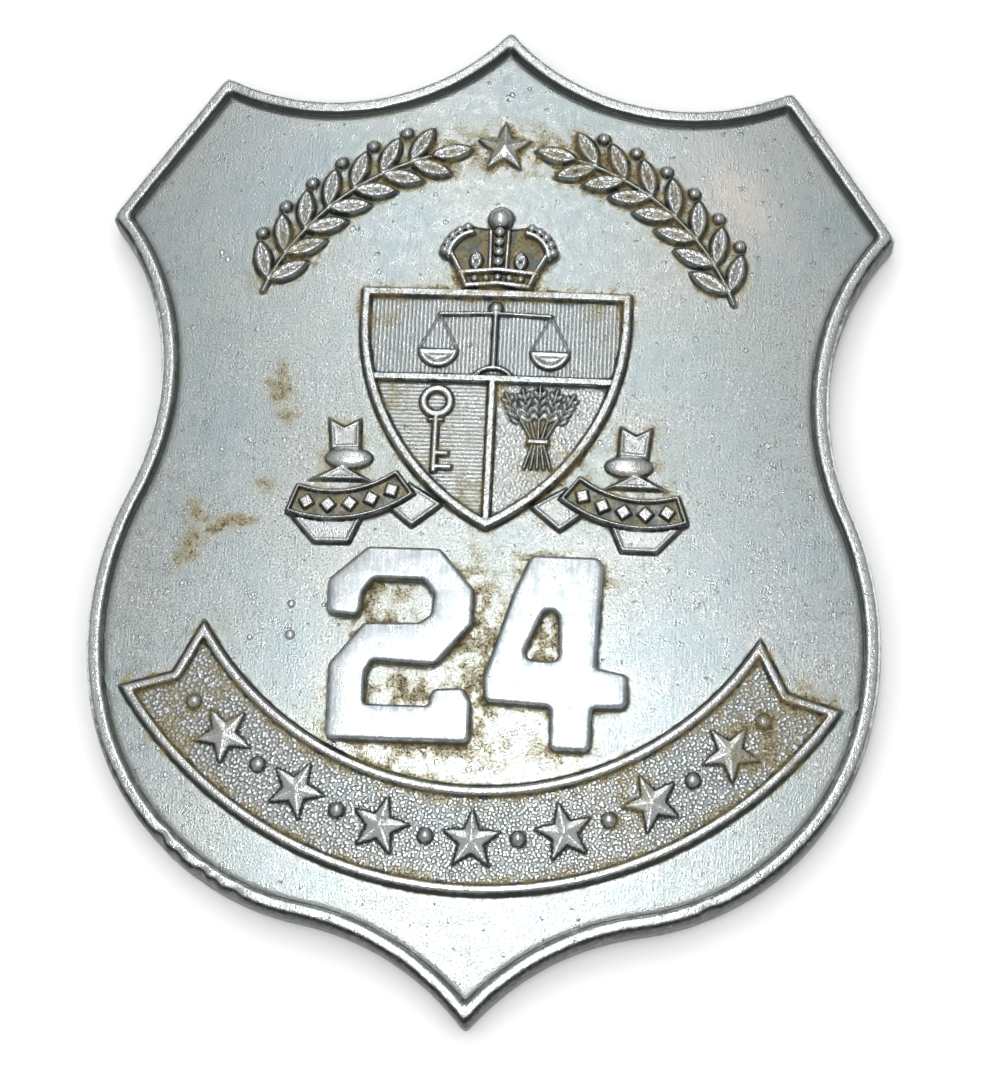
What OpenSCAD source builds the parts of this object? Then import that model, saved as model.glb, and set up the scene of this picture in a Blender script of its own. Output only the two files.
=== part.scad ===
// Shield-shaped sheriff badge, lying on its back with its face up.
// X runs across the badge, Y up the badge and Z out of its face.
// The origin is under the middle of its bounding box, on the surface it rests on.

/* [Shield outline] */
// Height of the badge from the apex to the tip
badge_h = 66.7; // [64:0.1:70]
// Width of the badge across its outer ear corners
badge_w = 51.8; // [51:0.1:54]
// Half the distance between the upper ear corners
ear_x = 18.9; // [18:0.1:20]
// Height of the upper ear corners above the badge's middle
ear_y = 29.6; // [29:0.1:30.5]
// Height of the outer ear corners above the badge's middle
ear_out_y = 19.1; // [18:0.1:20]
// Radius of the hollow curves on both sides of the apex
crest_r = 14.6; // [13.5:0.1:18]
// Radius of the hollow curves at the waist
waist_r = 17.8; // [16:0.1:20]
// Sideways place of the belly curve's centre
belly_x = 3.5; // [3:0.1:4]
// Place of the belly curve's centre up the badge
belly_y = -9; // [-10:0.1:-8]
// Radius of the belly curve
belly_r = 21.75; // [21:0.05:22]
// Angle at which the belly curve turns into the tighter jowl curve
jowl_angle = -12; // [-20:1:-5]
// Radius of the jowl curve below the belly
jowl_r = 17.4; // [16:0.1:19]
// Radius of the hollow curves beside the tip
foot_r = 17.6; // [16:0.1:20]

/* [Plate] */
// Thickness of the plate
plate_t = 2; // [1.6:0.1:2.4]
// Radius of the plate's domed face
dome_r = 200; // [180:5:260]
// Width of the raised rim
rim_w = 1.15; // [0.9:0.05:1.4]
// Height of the rim's crest above the face
rim_h = 0.55; // [0.3:0.05:0.7]

/* [Laurel arc] */
// Radius of the stem's curve
laurel_r = 16.4; // [16:0.1:16.8]
// Angle from the top at which each spray starts
laurel_span = 69; // [60:1:72]
// Number of leaf pairs in each spray
laurel_pairs = 7; // [6:1:7]
// Length of a leaf
leaf_l = 3; // [2.6:0.1:3.1]
// Width of a leaf
leaf_w = 1.2; // [1:0.05:1.3]

/* [Arms and crown] */
// Width of the small shield of arms
arms_w = 17.4; // [16:0.1:18]
// Height of the top edge of the arms above the badge's middle
arms_top = 14; // [13.5:0.1:14.2]
// Height of the tip of the arms
arms_tip = -2.1; // [-2.4:0.1:-1.6]
// Width of the raised border of the arms
arms_border = 0.55; // [0.4:0.05:0.7]
// Width of the crown at its arches
crown_w = 7.2; // [6.8:0.1:7.6]
// Height of the crown with its ball
crown_h = 6.1; // [5.6:0.1:6.2]

/* [Scroll] */
// Radius of the crest of the scroll's upper border
scroll_r0 = 20.75; // [20.6:0.05:20.9]
// Radius of the crest of the scroll's lower border
scroll_r1 = 26.8; // [26.4:0.1:27]
// Height of the scroll's centre above the badge's middle
scroll_y = 2; // [1.8:0.1:2.2]
// Width of the scroll's raised border
scroll_border = 0.7; // [0.5:0.05:0.8]
// Number of stars on the scroll
scroll_stars = 7; // [5:2:7]
// Outer radius of a star
star_r = 1.95; // [1.5:0.05:2]

/* [Numerals] */
// Height of a numeral, half an inch less the rounding of its edges
numeral_h = 12.35; // [12:0.05:12.5]
// Thickness of a numeral
numeral_t = 1; // [0.7:0.05:1.2]
// Width of the rounded edge of a numeral
numeral_edge = 0.25; // [0.1:0.05:0.35]
// Diameter of the posts that hold a numeral
post_d = 1.2; // [1:0.1:1.4]

/* [Pin] */
// Length of the pin's strip
pin_l = 27; // [24:1:28]
// Width of the pin's strip
pin_w = 3.2; // [2.8:0.1:3.6]
// Height of the pin above the badge's middle
pin_y = 6; // [5:0.5:8]
// Diameter of the pin's wire
wire_d = 0.9; // [0.8:0.05:1]

/* [Fit] */
// Gap between neighbouring pieces
gap = 0.05; // [0.03:0.01:0.08]

/* [Hidden] */
$fn = 48;
dome_fn = 360;

// Height that passes through every piece
tall = 20;

// Points of the outline's right half
apex = [0, badge_h / 2];
tip = [0, -badge_h / 2];
ear_top = [ear_x, ear_y];
ear_out = [badge_w / 2, ear_out_y];
belly_c = [belly_x, belly_y];
jowl_c = belly_c + (belly_r - jowl_r) * dir(jowl_angle);
crest_c = meet(apex, crest_r, ear_top, crest_r);
waist_c = meet(ear_out, waist_r, belly_c, belly_r + waist_r);
foot_c = meet(jowl_c, jowl_r + foot_r, tip, foot_r);
waist_angle = heading(waist_c - belly_c);
foot_angle = heading(foot_c - jowl_c);
ear_edge = (ear_out - ear_top) / norm(ear_out - ear_top);
ear_normal = [-ear_edge.y, ear_edge.x];

// The dome's axis stands where the two upper ear corners and the tip are level
dome_y = (ear_x * ear_x + ear_y * ear_y - tip.y * tip.y) / (2 * (ear_y - tip.y));
foot_reach = dome_y - tip.y;
back_r = dome_r - plate_t;
dome_z = -sqrt(back_r * back_r - foot_reach * foot_reach);

// The rim's slopes are two steps: how far the lower and the upper step lie in from its edges
rim_foot = 0.1;
rim_slope = 0.3;
rim_foot_h = rim_h * 0.55;

// Heights of the relief above the plate's face
leaf_h = 0.6;
field_h = 0.2;
charge_h = 0.55;
border_h = 0.7;
crown_h_low = 0.45;
crown_h_lines = 0.85;
fold_h = 0.4;
scroll_field_h = 0.12;
scroll_border_h = 0.55;
star_h = 0.6;

// Arms, worked out from their width and heights
arms_x = arms_w / 2;
arms_shoulder = arms_top - 2;
arms_drop = arms_shoulder - arms_tip;
arms_r = (arms_x * arms_x + arms_drop * arms_drop) / arms_w;
chief_y = arms_top - 6.1;
bar_w = 0.5;

// The crown's foot, which reaches under the top edge of the arms, its arches and its ball
crown_y = arms_top - 0.1;
arch_x = crown_w * 0.2;
ball_r = 0.85;
ball_y = crown_h - ball_r;

// Scroll, in angles from straight down
scroll_mid = (scroll_r0 + scroll_r1) / 2;
scroll_tail = 59.6;
scroll_tail_out = 57.4;
scroll_notch = 54.8;
scroll_reach = 42;
pellet_d = 0.9;

// Ribbons beside the arms
ribbon_c = [9.9, 6.85];
ribbon_r0 = 6.6;
ribbon_r1 = 8.65;
ribbon_a0 = -128;
ribbon_a1 = -70;
ribbon_border = 0.3;
lozenge_r = 0.5;
lozenge_turn = 10.5;

// Laurel arc: its centre, the angle left free at the top, the angle of one leaf, the leaves' lean, the share
// of a step that the stem runs on below its first leaves, and the berries' place past the outer leaves
laurel_c = [0, 7.9];
laurel_gap = 7;
leaf_turn = leaf_l / laurel_r * 180 / PI;
leaf_lean = 38;
stem_w = 0.34;
stem_foot = 0.35;
berry_d = 0.72;
berry_place = [leaf_l * cos(leaf_lean) + 0.55, -leaf_l * sin(leaf_lean) - 0.05];
laurel_star_r = 1.9;

// Unit vector at an angle
function dir(a) = [cos(a), sin(a)];

// Angle of a vector
function heading(v) = atan2(v.y, v.x);

// Point where two circles meet, on the left of the way from p to q
function meet(p, rp, q, rq) =
    let (d = norm(q - p), a = (rp * rp - rq * rq + d * d) / (2 * d), u = (q - p) / d)
    p + a * u + sqrt(rp * rp - a * a) * [-u.y, u.x];

// Points of an arc from one angle to another, without its first point where an arc before it ends there
function arc(c, r, a0, a1, n, first = 0) =
    [for (i = [first : n]) c + r * dir(a0 + (a1 - a0) * i / n)];

// A list of points mirrored across the badge, in reverse order, without the points on its middle line
function mirrored(pts) =
    [for (i = [len(pts) - 1 : -1 : 0]) if (abs(pts[i].x) > 0.001) [-pts[i].x, pts[i].y]];

// Points of the right half of the outline, moved inwards by d
function half_outline(d) = concat(
    arc(crest_c, crest_r + d, heading(crest_foot(d) - crest_c),
        heading(ear_corner(d, ear_top, crest_c, crest_r) - crest_c), 12),
    arc(waist_c, waist_r + d, heading(ear_corner(d, ear_out, waist_c, waist_r) - waist_c),
        waist_angle + 180, 10),
    arc(belly_c, belly_r - d, waist_angle, jowl_angle, 9, 1),
    arc(jowl_c, jowl_r - d, jowl_angle, foot_angle, 14, 1),
    arc(foot_c, foot_r + d, foot_angle + 180, heading(tip_point(d) - foot_c), 9, 1));

// Where the moved crest curve and foot curve cross the badge's middle
function crest_foot(d) = [0, crest_c.y - sqrt(pow(crest_r + d, 2) - pow(crest_c.x, 2))];
function tip_point(d) = [0, foot_c.y + sqrt(pow(foot_r + d, 2) - pow(foot_c.x, 2))];

// Where the moved straight ear edge crosses a moved curve round c, near corner p
function ear_corner(d, p, c, r) =
    let (q = p - d * ear_normal, v = q - c, b = v * ear_edge,
         s = sqrt(b * b - (v * v - pow(r + d, 2))),
         t = abs(-b - s) < abs(-b + s) ? -b - s : -b + s)
    q + t * ear_edge;

// The shield's outline, moved inwards by d
module outline(d = 0) {
    half = half_outline(d);
    polygon(concat(half, mirrored(half)));
}

// The children and their mirror image across the badge
module both_sides() {
    children();
    mirror([1, 0]) children();
}

// The ball whose top is the dome of radius r
module dome(r) {
    translate([0, dome_y, dome_z]) sphere(r = r, $fn = dome_fn);
}

// A flat shape raised to h above the plate's face, with its top on a dome
module raised(h) {
    intersection() {
        linear_extrude(height = tall) children();
        dome(dome_r + h);
    }
}

// A stroke with round ends
module stroke(a, b, w) {
    v = (b - a) / norm(b - a) * w / 2;
    n = [-v.y, v.x];
    polygon([a + n, a - n, b - n, b + n]);
    translate(a) circle(d = w, $fn = 16);
    translate(b) circle(d = w, $fn = 16);
}

// A row of strokes through a list of points
module path(pts, w) {
    for (i = [0 : len(pts) - 2]) stroke(pts[i], pts[i + 1], w);
}

// A ring segment between two radii and two angles
module band(c, r0, r1, a0, a1, n = 24) {
    polygon(concat(arc(c, r0, a0, a1, n), arc(c, r1, a1, a0, n)));
}

// A pointed leaf of length l and width w along X
module leaf(l, w) {
    r = (l * l + w * w) / (4 * w);
    sag = r - w / 2;
    a = asin(l / 2 / r);
    top = arc([l / 2, -sag], r, 90 + a, 90 - a, 4);
    polygon(concat(top, [for (i = [len(top) - 2 : -1 : 1]) [top[i].x, -top[i].y]]));
}

// A star with n points
module star(r, n = 5) {
    inner = r * 0.42;
    polygon([for (i = [0 : 2 * n - 1]) (i % 2 == 0 ? r : inner) * dir(90 + 180 * i / n)]);
}

// Moves its children to an angle on the laurel's stem and turns their X along it, upwards
module on_stem(a) {
    translate(laurel_c + laurel_r * dir(a)) rotate(a + 90) children();
}

// A leaf that starts at the origin and leans from X
module leaf_from_stem(lean) {
    rotate(lean) translate([leaf_l / 2, 0]) leaf(leaf_l, leaf_w);
}

// One spray of the laurel arc, on the right: a stem with pairs of leaves, a berry after each outer leaf
// but the last, and an end leaf
module laurel_spray() {
    start = 90 - laurel_span;
    end = 90 - laurel_gap - leaf_turn;
    step = (end - start) / laurel_pairs;
    band(laurel_c, laurel_r - stem_w / 2, laurel_r + stem_w / 2, start, end);
    for (i = [0 : laurel_pairs - 1]) on_stem(start + step * (i + stem_foot)) {
        leaf_from_stem(leaf_lean);
        leaf_from_stem(-leaf_lean);
        if (i < laurel_pairs - 1) translate(berry_place) circle(d = berry_d, $fn = 16);
    }
    on_stem(end) leaf_from_stem(leaf_turn / 2);
}

// Flat shapes joined into one outline, with no slivers between them
module joined() {
    offset(delta = -0.02) offset(delta = 0.04) children();
}

// The laurel arc in the upper field
module laurel() {
    joined() {
        both_sides() laurel_spray();
        translate(laurel_c + [0, laurel_r]) star(laurel_star_r);
    }
}

// The outline of the arms, moved inwards by d
module arms_outline(d = 0) {
    r = arms_r - d;
    c = [arms_x - arms_r, arms_shoulder];
    end = acos((arms_r - arms_x) / r);
    right = concat([[arms_x - d, arms_top - d]], arc(c, r, 0, -end, 12));
    polygon(concat(right, mirrored(right)));
}

// The raised border of the arms with the bars that divide it
module arms_border_2d() {
    joined() {
        difference() {
            arms_outline();
            arms_outline(arms_border);
        }
        intersection() {
            arms_outline(arms_border / 2);
            union() {
                translate([-arms_x, chief_y - bar_w / 2]) square([arms_w, bar_w]);
                translate([-bar_w / 2, arms_tip]) square([bar_w, chief_y - arms_tip]);
            }
        }
    }
}

// A pair of scales: post, beam and two hung pans
module scales_2d() {
    beam_x = 3.6;
    beam_y = 1.5;
    pan_y = -0.85;
    pan_r = 1.35;
    stroke([0, -2.1], [0, 1.9], 0.42);
    stroke([-beam_x, beam_y], [beam_x, beam_y], 0.34);
    translate([0, 2]) circle(d = 0.8, $fn = 16);
    band([0, -beam_x], 1.3, 1.7, 35, 145, 8);
    for (x = [-beam_x, beam_x]) {
        path([[x - pan_r + 0.1, pan_y], [x, beam_y], [x + pan_r - 0.1, pan_y]], 0.2);
        band([x, pan_y], 0, pan_r, 180, 360, 10);
    }
}

// A key standing on its bit
module key_2d() {
    ring_y = 1.7;
    foot_y = -2.9;
    ward_h = 0.45;
    difference() {
        translate([0, ring_y]) circle(d = 2.3, $fn = 24);
        translate([0, ring_y]) circle(d = 1.15, $fn = 24);
    }
    stroke([0, ring_y - 1.1], [0, foot_y], 0.5);
    translate([0, foot_y]) square([1.25, ward_h]);
    translate([0, foot_y + 2 * ward_h]) square([1, ward_h]);
}

// A tied sheaf of wheat
module sheaf_2d() {
    for (i = [-2 : 2]) {
        stroke([i * 0.28, -2.6], [i * 0.55, 0.9], 0.24);
        for (side = [-1, 1], j = [0 : 2])
            translate([i * (0.55 + 0.14 * j), 0.7 + j * 0.62 - abs(i) * 0.28])
                rotate(90 - i * 9 + side * 25) leaf(0.95, 0.42);
    }
    translate([-0.85, -1.15]) square([1.7, 0.5]);
}

// The charges of the arms
module charges_2d() {
    joined() {
        translate([0, chief_y + 2.9]) scales_2d();
        translate([-3.5, chief_y - 3.3]) key_2d();
        translate([3.1, chief_y - 3.2]) sheaf_2d();
    }
}

// Crown: its outer shape, and the bands, arches, pearls and ball on it
module crown_shape_2d() {
    half = concat(
        [[0, 0], [crown_w * 0.3, -0.15], [crown_w * 0.36, 1.4], [crown_w / 2, 2.9]],
        arc([arch_x, 2.6], crown_w * 0.3, 10, 75, 6),
        [[0.55, 4.5], [0, 4.5]]);
    joined() {
        polygon(concat(half, mirrored(half)));
        translate([0, ball_y]) circle(r = ball_r, $fn = 24);
    }
}

module crown_lines_2d() {
    line_w = 0.3;
    jewel_gap = 0.75;
    joined() {
        both_sides() {
            path([[0, 0.55], [crown_w * 0.28, 0.35]], line_w);
            path([[0, 1.5], [crown_w * 0.34, 1.25]], line_w);
            path([[crown_w * 0.28, 0.35], [crown_w * 0.34, 1.4], [crown_w * 0.45, 2.9]], line_w);
            path(arc([arch_x, 2.35], crown_w * 0.25, 5, 78, 5), line_w);
            path([[0.55, 1.5], [0.6, 4.2]], 0.25);
            translate([arch_x, 1.3]) rotate(90) leaf(1.2, 0.8);
            for (a = [8 : 16 : 72])
                translate([arch_x, 2.5] + crown_w * 0.29 * dir(a)) circle(d = 0.5, $fn = 14);
        }
        for (i = [0 : 3]) translate([0, 2 + 0.7 * i]) circle(d = 0.55, $fn = 14);
        for (i = [-2 : 2])
            translate([i * jewel_gap, 0.98 - abs(i) * 0.05]) circle(d = 0.4, $fn = 14);
        translate([0, ball_y]) circle(r = ball_r - 0.15, $fn = 24);
    }
}

// The folds of the right ribbon, behind its banner
module ribbon_folds_2d() {
    joined() {
        polygon([[8.3, 5.1], [9.35, 4.5], [10.4, 5.1], [10.15, 2.9], [8.2, 3]]);
        translate([8.95, 2.4]) scale([1.5, 0.7]) circle(r = 1, $fn = 24);
        polygon([[9.4, 2], [11.5, 0.9], [7.4, 0.9]]);
        polygon([[12.4, -1.6], [10.9, -3.25], [8.6, -3.25], [7.8, -1.4], [10.4, -1]]);
        polygon([[5, 0.9], [2.7, -0.5], [4.7, -2.1], [6.2, -0.9]]);
    }
}

// The banner of the right ribbon, moved inwards by d
module banner_2d(d = 0) {
    turn = d * 180 / PI / ribbon_r1;
    band(ribbon_c, ribbon_r0 + d, ribbon_r1 - d, ribbon_a0 + turn, ribbon_a1 - turn, 12);
}

// The border of the right banner and the row of lozenges on it
module banner_lines_2d() {
    difference() {
        banner_2d();
        banner_2d(ribbon_border);
    }
    mid_r = (ribbon_r0 + ribbon_r1) / 2;
    mid_a = (ribbon_a0 + ribbon_a1) / 2;
    r = lozenge_r;
    for (a = [mid_a - 2 * lozenge_turn : lozenge_turn : mid_a + 2 * lozenge_turn])
        translate(ribbon_c + mid_r * dir(a)) rotate(a) polygon([[-r, 0], [0, -r], [r, 0], [0, r]]);
}

// The scroll with its fishtail ends, moved inwards by d. Its slanted ends move a little further along
// the arc.
module scroll_2d(d = 0) {
    c = [0, scroll_y];
    r0 = scroll_r0 - scroll_border / 2 + d;
    r1 = scroll_r1 + scroll_border / 2 - d;
    turn = 1.1 * d / scroll_mid * 180 / PI;
    tail = scroll_tail - 1.5 * turn;
    tail_out = scroll_tail_out - 1.3 * turn;
    notch = scroll_notch - turn;
    polygon(concat(
        arc(c, r1, -90 - tail_out, -90 + tail_out, 36),
        [c + scroll_mid * dir(-90 + notch)],
        arc(c, r0, -90 + tail, -90 - tail, 36),
        [c + scroll_mid * dir(-90 - notch)]));
}

// The stars of the scroll with a pellet on each side of them
module scroll_charges_2d() {
    step = 2 * scroll_reach / (scroll_stars - 1);
    for (i = [0 : scroll_stars - 1]) {
        a = -scroll_reach + step * i;
        translate([0, scroll_y]) rotate(a) translate([0, -scroll_mid]) star(star_r);
    }
    for (i = [0 : scroll_stars]) {
        a = -scroll_reach + step * (i - 0.5);
        translate([0, scroll_y]) rotate(a) translate([0, -scroll_mid]) circle(d = pellet_d, $fn = 20);
    }
}

// Outlines of the numerals, from their lower left corner, drawn at the full height and scaled to
// the real one
full_h = 12.35;
numeral_s = numeral_h / full_h;
corner_r = 0.3;

module two_2d() {
    offset(r = corner_r, $fn = 24) offset(delta = -corner_r) polygon(numeral_s * [
        [0.3, 0], [9.4, 0], [9.4, 2.6], [8.9, 3.5], [6.9, 3.35], [6.65, 2.3], [2.7, 2.3], [2.7, 4.3],
        [3.1, 5], [7.05, 4.85], [9.3, 7.5], [9.3, 9.7], [7, 12.35], [2.4, 12.35], [0, 10.2], [0, 8],
        [2.1, 7.8], [2.3, 9.4], [2.9, 10.25], [6, 10.25], [6.7, 9.4], [6.6, 8.1], [5.9, 7.55],
        [2.4, 7.45], [0.3, 4.8]]);
}

module four_2d() {
    offset(r = corner_r, $fn = 24) offset(delta = -corner_r) difference() {
        polygon(numeral_s * [
            [2.7, 12.35], [7, 12.35], [7.35, 11.7], [7.1, 5.3], [9.1, 4.95], [9.1, 2.85], [6.95, 2.7],
            [6.9, 0], [4.3, 0], [4.25, 2.7], [0.1, 2.9], [0, 4.4], [1.65, 9.8]]);
        polygon(numeral_s * [[4.45, 10.5], [4.7, 5.6], [2.4, 5.7]]);
    }
}

// Places of the numerals and of their posts
left_place = [-9.75, -15.9];
right_place = [0.3, -16.15];
left_posts = [left_place + [1.8, 1.15], left_place + [7.8, 8.6]];
right_posts = [right_place + [5.6, 1.6], right_place + [5.8, 9.6]];

// How far the spread ends of posts and studs are wider than their shafts, how thick the ends are, and how far
// a shaft goes on into its end
spread_w = 0.9;
post_end_t = 0.4;
stud_end_t = 0.35;
end_lap = 0.2;

// A numeral: its body, its narrower top inside the rounded edge, and its two posts
module numeral(place, posts) {
    difference() {
        union() {
            intersection() {
                linear_extrude(height = tall) translate(place) children();
                dome(dome_r + gap + numeral_t - numeral_edge);
            }
            intersection() {
                linear_extrude(height = tall) translate(place) offset(delta = -numeral_edge) children();
                dome(dome_r + gap + numeral_t);
            }
        }
        dome(dome_r + gap);
    }
    for (p = posts) post(p);
}

// A post through the plate with its spread end behind it
module post(p) {
    intersection() {
        translate([p.x, p.y, 0]) cylinder(d = post_d, h = tall);
        difference() {
            dome(dome_r + gap + numeral_t / 2);
            dome(back_r - gap - end_lap);
        }
    }
    intersection() {
        translate([p.x, p.y, 0]) cylinder(d = post_d + spread_w, h = tall);
        difference() {
            dome(back_r - gap);
            dome(back_r - gap - post_end_t);
        }
    }
}

// Places of the studs that hold the pin's strip
studs = [[-7, pin_y], [7, pin_y]];
strip_t = 0.5;
stud_d = 1.6;

// The plate: domed face, rim, relief, studs for the pin and holes for the numerals' posts
module shield_plate() {
    color([0.75, 0.77, 0.79]) {
        difference() {
            union() {
                raised(0) outline();
                raised(rim_foot_h) difference() {
                    outline(rim_foot);
                    outline(rim_w);
                }
                raised(rim_h) difference() {
                    outline(rim_slope);
                    outline(rim_w - rim_slope);
                }
                raised(leaf_h) laurel();
                raised(field_h) arms_outline(arms_border / 4);
                raised(border_h) arms_border_2d();
                raised(charge_h) charges_2d();
                raised(crown_h_low) translate([0, crown_y]) crown_shape_2d();
                raised(crown_h_lines) translate([0, crown_y]) crown_lines_2d();
                raised(fold_h) difference() {
                    both_sides() ribbon_folds_2d();
                    arms_outline();
                }
                raised(fold_h + 0.05) both_sides() banner_2d();
                raised(border_h) both_sides() banner_lines_2d();
                raised(scroll_field_h) scroll_2d(scroll_border / 3);
                raised(scroll_border_h) difference() {
                    scroll_2d();
                    scroll_2d(scroll_border);
                }
                raised(star_h) scroll_charges_2d();
            }
            dome(back_r);
            for (p = concat(left_posts, right_posts))
                translate([p.x, p.y, 0]) cylinder(d = post_d + 2 * gap, h = tall);
        }
        for (p = studs) stud(p);
    }
}

// A stud on the plate's back with its spread end under the pin's strip
module stud(p) {
    end_r = back_r - strip_t - 2 * gap;
    intersection() {
        translate([p.x, p.y, 0]) cylinder(d = stud_d, h = tall);
        difference() {
            dome(back_r + plate_t / 2);
            dome(end_r - end_lap);
        }
    }
    intersection() {
        translate([p.x, p.y, 0]) cylinder(d = stud_d + spread_w, h = tall);
        difference() {
            dome(end_r);
            dome(end_r - stud_end_t);
        }
    }
}

module numeral_left() {
    color([0.86, 0.88, 0.9]) numeral(left_place, left_posts) two_2d();
}

module numeral_right() {
    color([0.86, 0.88, 0.9]) numeral(right_place, right_posts) four_2d();
}

// Places along the pin: its wire's height, the hinge block and the catch
wire_z = 1.1;
barrel_r = 0.95;
catch_l = 2;
hinge_l = 2.6;
hinge_w = 2.4;
strip_r = back_r - gap - strip_t;
hinge_x = (pin_l - hinge_l) / 2;
catch_x = (catch_l - pin_l) / 2 + 1;

// The brooch pin's strip, bent to the dome, with holes for the studs
module pin_strip() {
    difference() {
        intersection() {
            translate([-pin_l / 2, pin_y - pin_w / 2, 0]) cube([pin_l, pin_w, tall]);
            dome(back_r - gap);
        }
        dome(strip_r);
        for (p = studs) translate([p.x, p.y, 0]) cylinder(d = stud_d + 2 * gap, h = tall);
    }
}

// The block at the hinge end, which holds the wire's root
module hinge_block() {
    intersection() {
        translate([hinge_x - hinge_l / 2, pin_y - hinge_w / 2, wire_z - barrel_r])
            cube([hinge_l, hinge_w, tall]);
        dome(strip_r + strip_t / 2);
    }
}

// The catch: a barrel under the strip, open on one side for the wire
module catch_hook() {
    intersection() {
        difference() {
            translate([catch_x - catch_l / 2, pin_y, wire_z]) rotate([0, 90, 0])
                cylinder(r = barrel_r, h = catch_l);
            translate([catch_x - catch_l, pin_y, wire_z]) rotate([0, 90, 0])
                cylinder(d = wire_d + 2 * gap, h = 2 * catch_l);
            translate([catch_x - catch_l, pin_y - 2 * barrel_r, wire_z - wire_d / 2 - gap])
                cube([2 * catch_l, 2 * barrel_r, wire_d + 2 * gap]);
        }
        dome(strip_r + strip_t / 2);
    }
}

// The wire, from the hinge block to its point past the catch
module pin_wire() {
    point_l = 1.6;
    point_d = 0.15;
    point_x = -pin_l / 2;
    translate([point_x + point_l, pin_y, wire_z]) rotate([0, 90, 0])
        cylinder(d = wire_d, h = hinge_x - point_x - point_l);
    translate([point_x, pin_y, wire_z]) rotate([0, 90, 0])
        cylinder(d1 = point_d, d2 = wire_d, h = point_l);
}

// The brooch pin in one piece
module pin_back() {
    color([0.7, 0.71, 0.72]) {
        pin_strip();
        hinge_block();
        catch_hook();
        pin_wire();
    }
}

shield_plate();
numeral_left();
numeral_right();
pin_back();
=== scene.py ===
"""The visible surfaces of a cast shield badge, built over its packed solids.

Shapes are worked out in millimetres as numpy arrays and put into meshes in metres.
"""

import math
from types import SimpleNamespace

import bpy
import numpy as np
from bpy.props import FloatProperty, FloatVectorProperty, IntProperty, PointerProperty
from mathutils import Matrix, Vector
from mathutils.geometry import delaunay_2d_cdt


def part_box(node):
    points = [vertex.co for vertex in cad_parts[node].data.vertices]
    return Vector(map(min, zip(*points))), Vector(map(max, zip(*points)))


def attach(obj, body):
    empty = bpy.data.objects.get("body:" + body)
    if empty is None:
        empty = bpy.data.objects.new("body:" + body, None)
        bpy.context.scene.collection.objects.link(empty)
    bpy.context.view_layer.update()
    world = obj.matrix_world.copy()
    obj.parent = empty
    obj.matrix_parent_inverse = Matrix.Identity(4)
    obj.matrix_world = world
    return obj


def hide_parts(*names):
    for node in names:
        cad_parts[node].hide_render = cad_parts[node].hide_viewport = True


bl_info = {
    "name": "Shield badge",
    "version": (1, 0, 0),
    "blender": (4, 5, 0),
    "location": "View3D > Sidebar > Badge",
    "description": "Builds the cast face, numerals and finish of a shield badge over its packed solids",
    "category": "Mesh",
}

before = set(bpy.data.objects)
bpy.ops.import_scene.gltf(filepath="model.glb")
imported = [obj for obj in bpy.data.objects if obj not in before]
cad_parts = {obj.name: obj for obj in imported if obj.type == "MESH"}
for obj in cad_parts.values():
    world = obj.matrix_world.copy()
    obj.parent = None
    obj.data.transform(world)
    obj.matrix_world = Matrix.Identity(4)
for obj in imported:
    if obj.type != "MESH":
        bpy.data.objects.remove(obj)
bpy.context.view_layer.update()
PLATE_LOW, PLATE_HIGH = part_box("shield_plate")

MM = 0.001
PLATE_W, PLATE_H, _ = ((high - low) / MM for low, high in zip(PLATE_LOW, PLATE_HIGH))
BODY = "root"
PLATE_SLOT = "plate_metal"
NUMERAL_SLOT = "numeral_metal"

# How far a relief's skin goes on over the face around its foot, how much further its hem goes, and how fast
# the hem sinks into the face with the square of the distance
APRON = 0.6
HEM = 0.45
SINK = 0.12
# A relief's height outside its foot is this share of the distance from it, below nought
OUTSIDE = 0.1
# Width over which a relief's heights are averaged to find its hollows
AVERAGED_OVER = 0.18
# Each relief's grid step, how far its skin stands over the face, and how dark its slopes get at most with
# painted shade
SKINS = {
    "laurel": (0.07, 0.004, 0.55),
    "arms": (0.062, 0.006, 0.6),
    "crown": (0.045, 0.008, 0.5),
    "ribbon_right": (0.062, 0.005, 0.65),
    "ribbon_left": (0.062, 0.005, 0.65),
    "scroll": (0.08, 0.004, 0.65),
    "face_by_numerals": (0.09, 0.003, 0.8),
}
# Below any distance that counts
FAR = -1.0
# Place of the centre of the laurel's curve up the badge, and distance between the fine lines on the arms
LAUREL_Y = 7.9
LINE_PITCH = 0.26
# The pin's strip: its place up the badge, its thickness, the gap on both its sides and its studs' places
STRIP_Y, STRIP_T, STRIP_GAP, STUD_X = 6.0, 0.5, 0.05, 7.0
# Pole of the plate's rows, where they are drawn together
POLE = (0.0, 5.5)
# Angle that the scroll's grid reaches to on both sides, and the ribbon's grid: left, right, bottom and top
SCROLL_REACH = 61.5
RIBBON_BOX = (2.2, 12.9, -3.6, 5.5)
# The painted warm reflection of a lamp on the face: its place, turn, half length and half width
REFLECTION_PLACE, REFLECTION_TURN, REFLECTION_LONG, REFLECTION_WIDE = (15.6, 21.5), -50, 4.2, 2.3
# Height in pixels of the image that the focal length is given for
IMAGE_H = 1086


# Settings that a user would change


def number(name, text, value, unit="NONE", **more):
    """A setting, with its unit where it has one."""
    return FloatProperty(name=name, description=text, default=value, unit=unit, **more)


def length(name, text, value):
    """A length setting, given in millimetres and kept in metres."""
    return number(name, text, value * MM, "LENGTH", min=0, precision=5)


def turn(name, text, degrees):
    """An angle setting, given in degrees and kept in radians."""
    return number(name, text, math.radians(degrees), "ROTATION", subtype="ANGLE")


def share(name, text, value):
    """A setting from 0 to 1."""
    return number(name, text, value, min=0, max=1, subtype="FACTOR")


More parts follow.
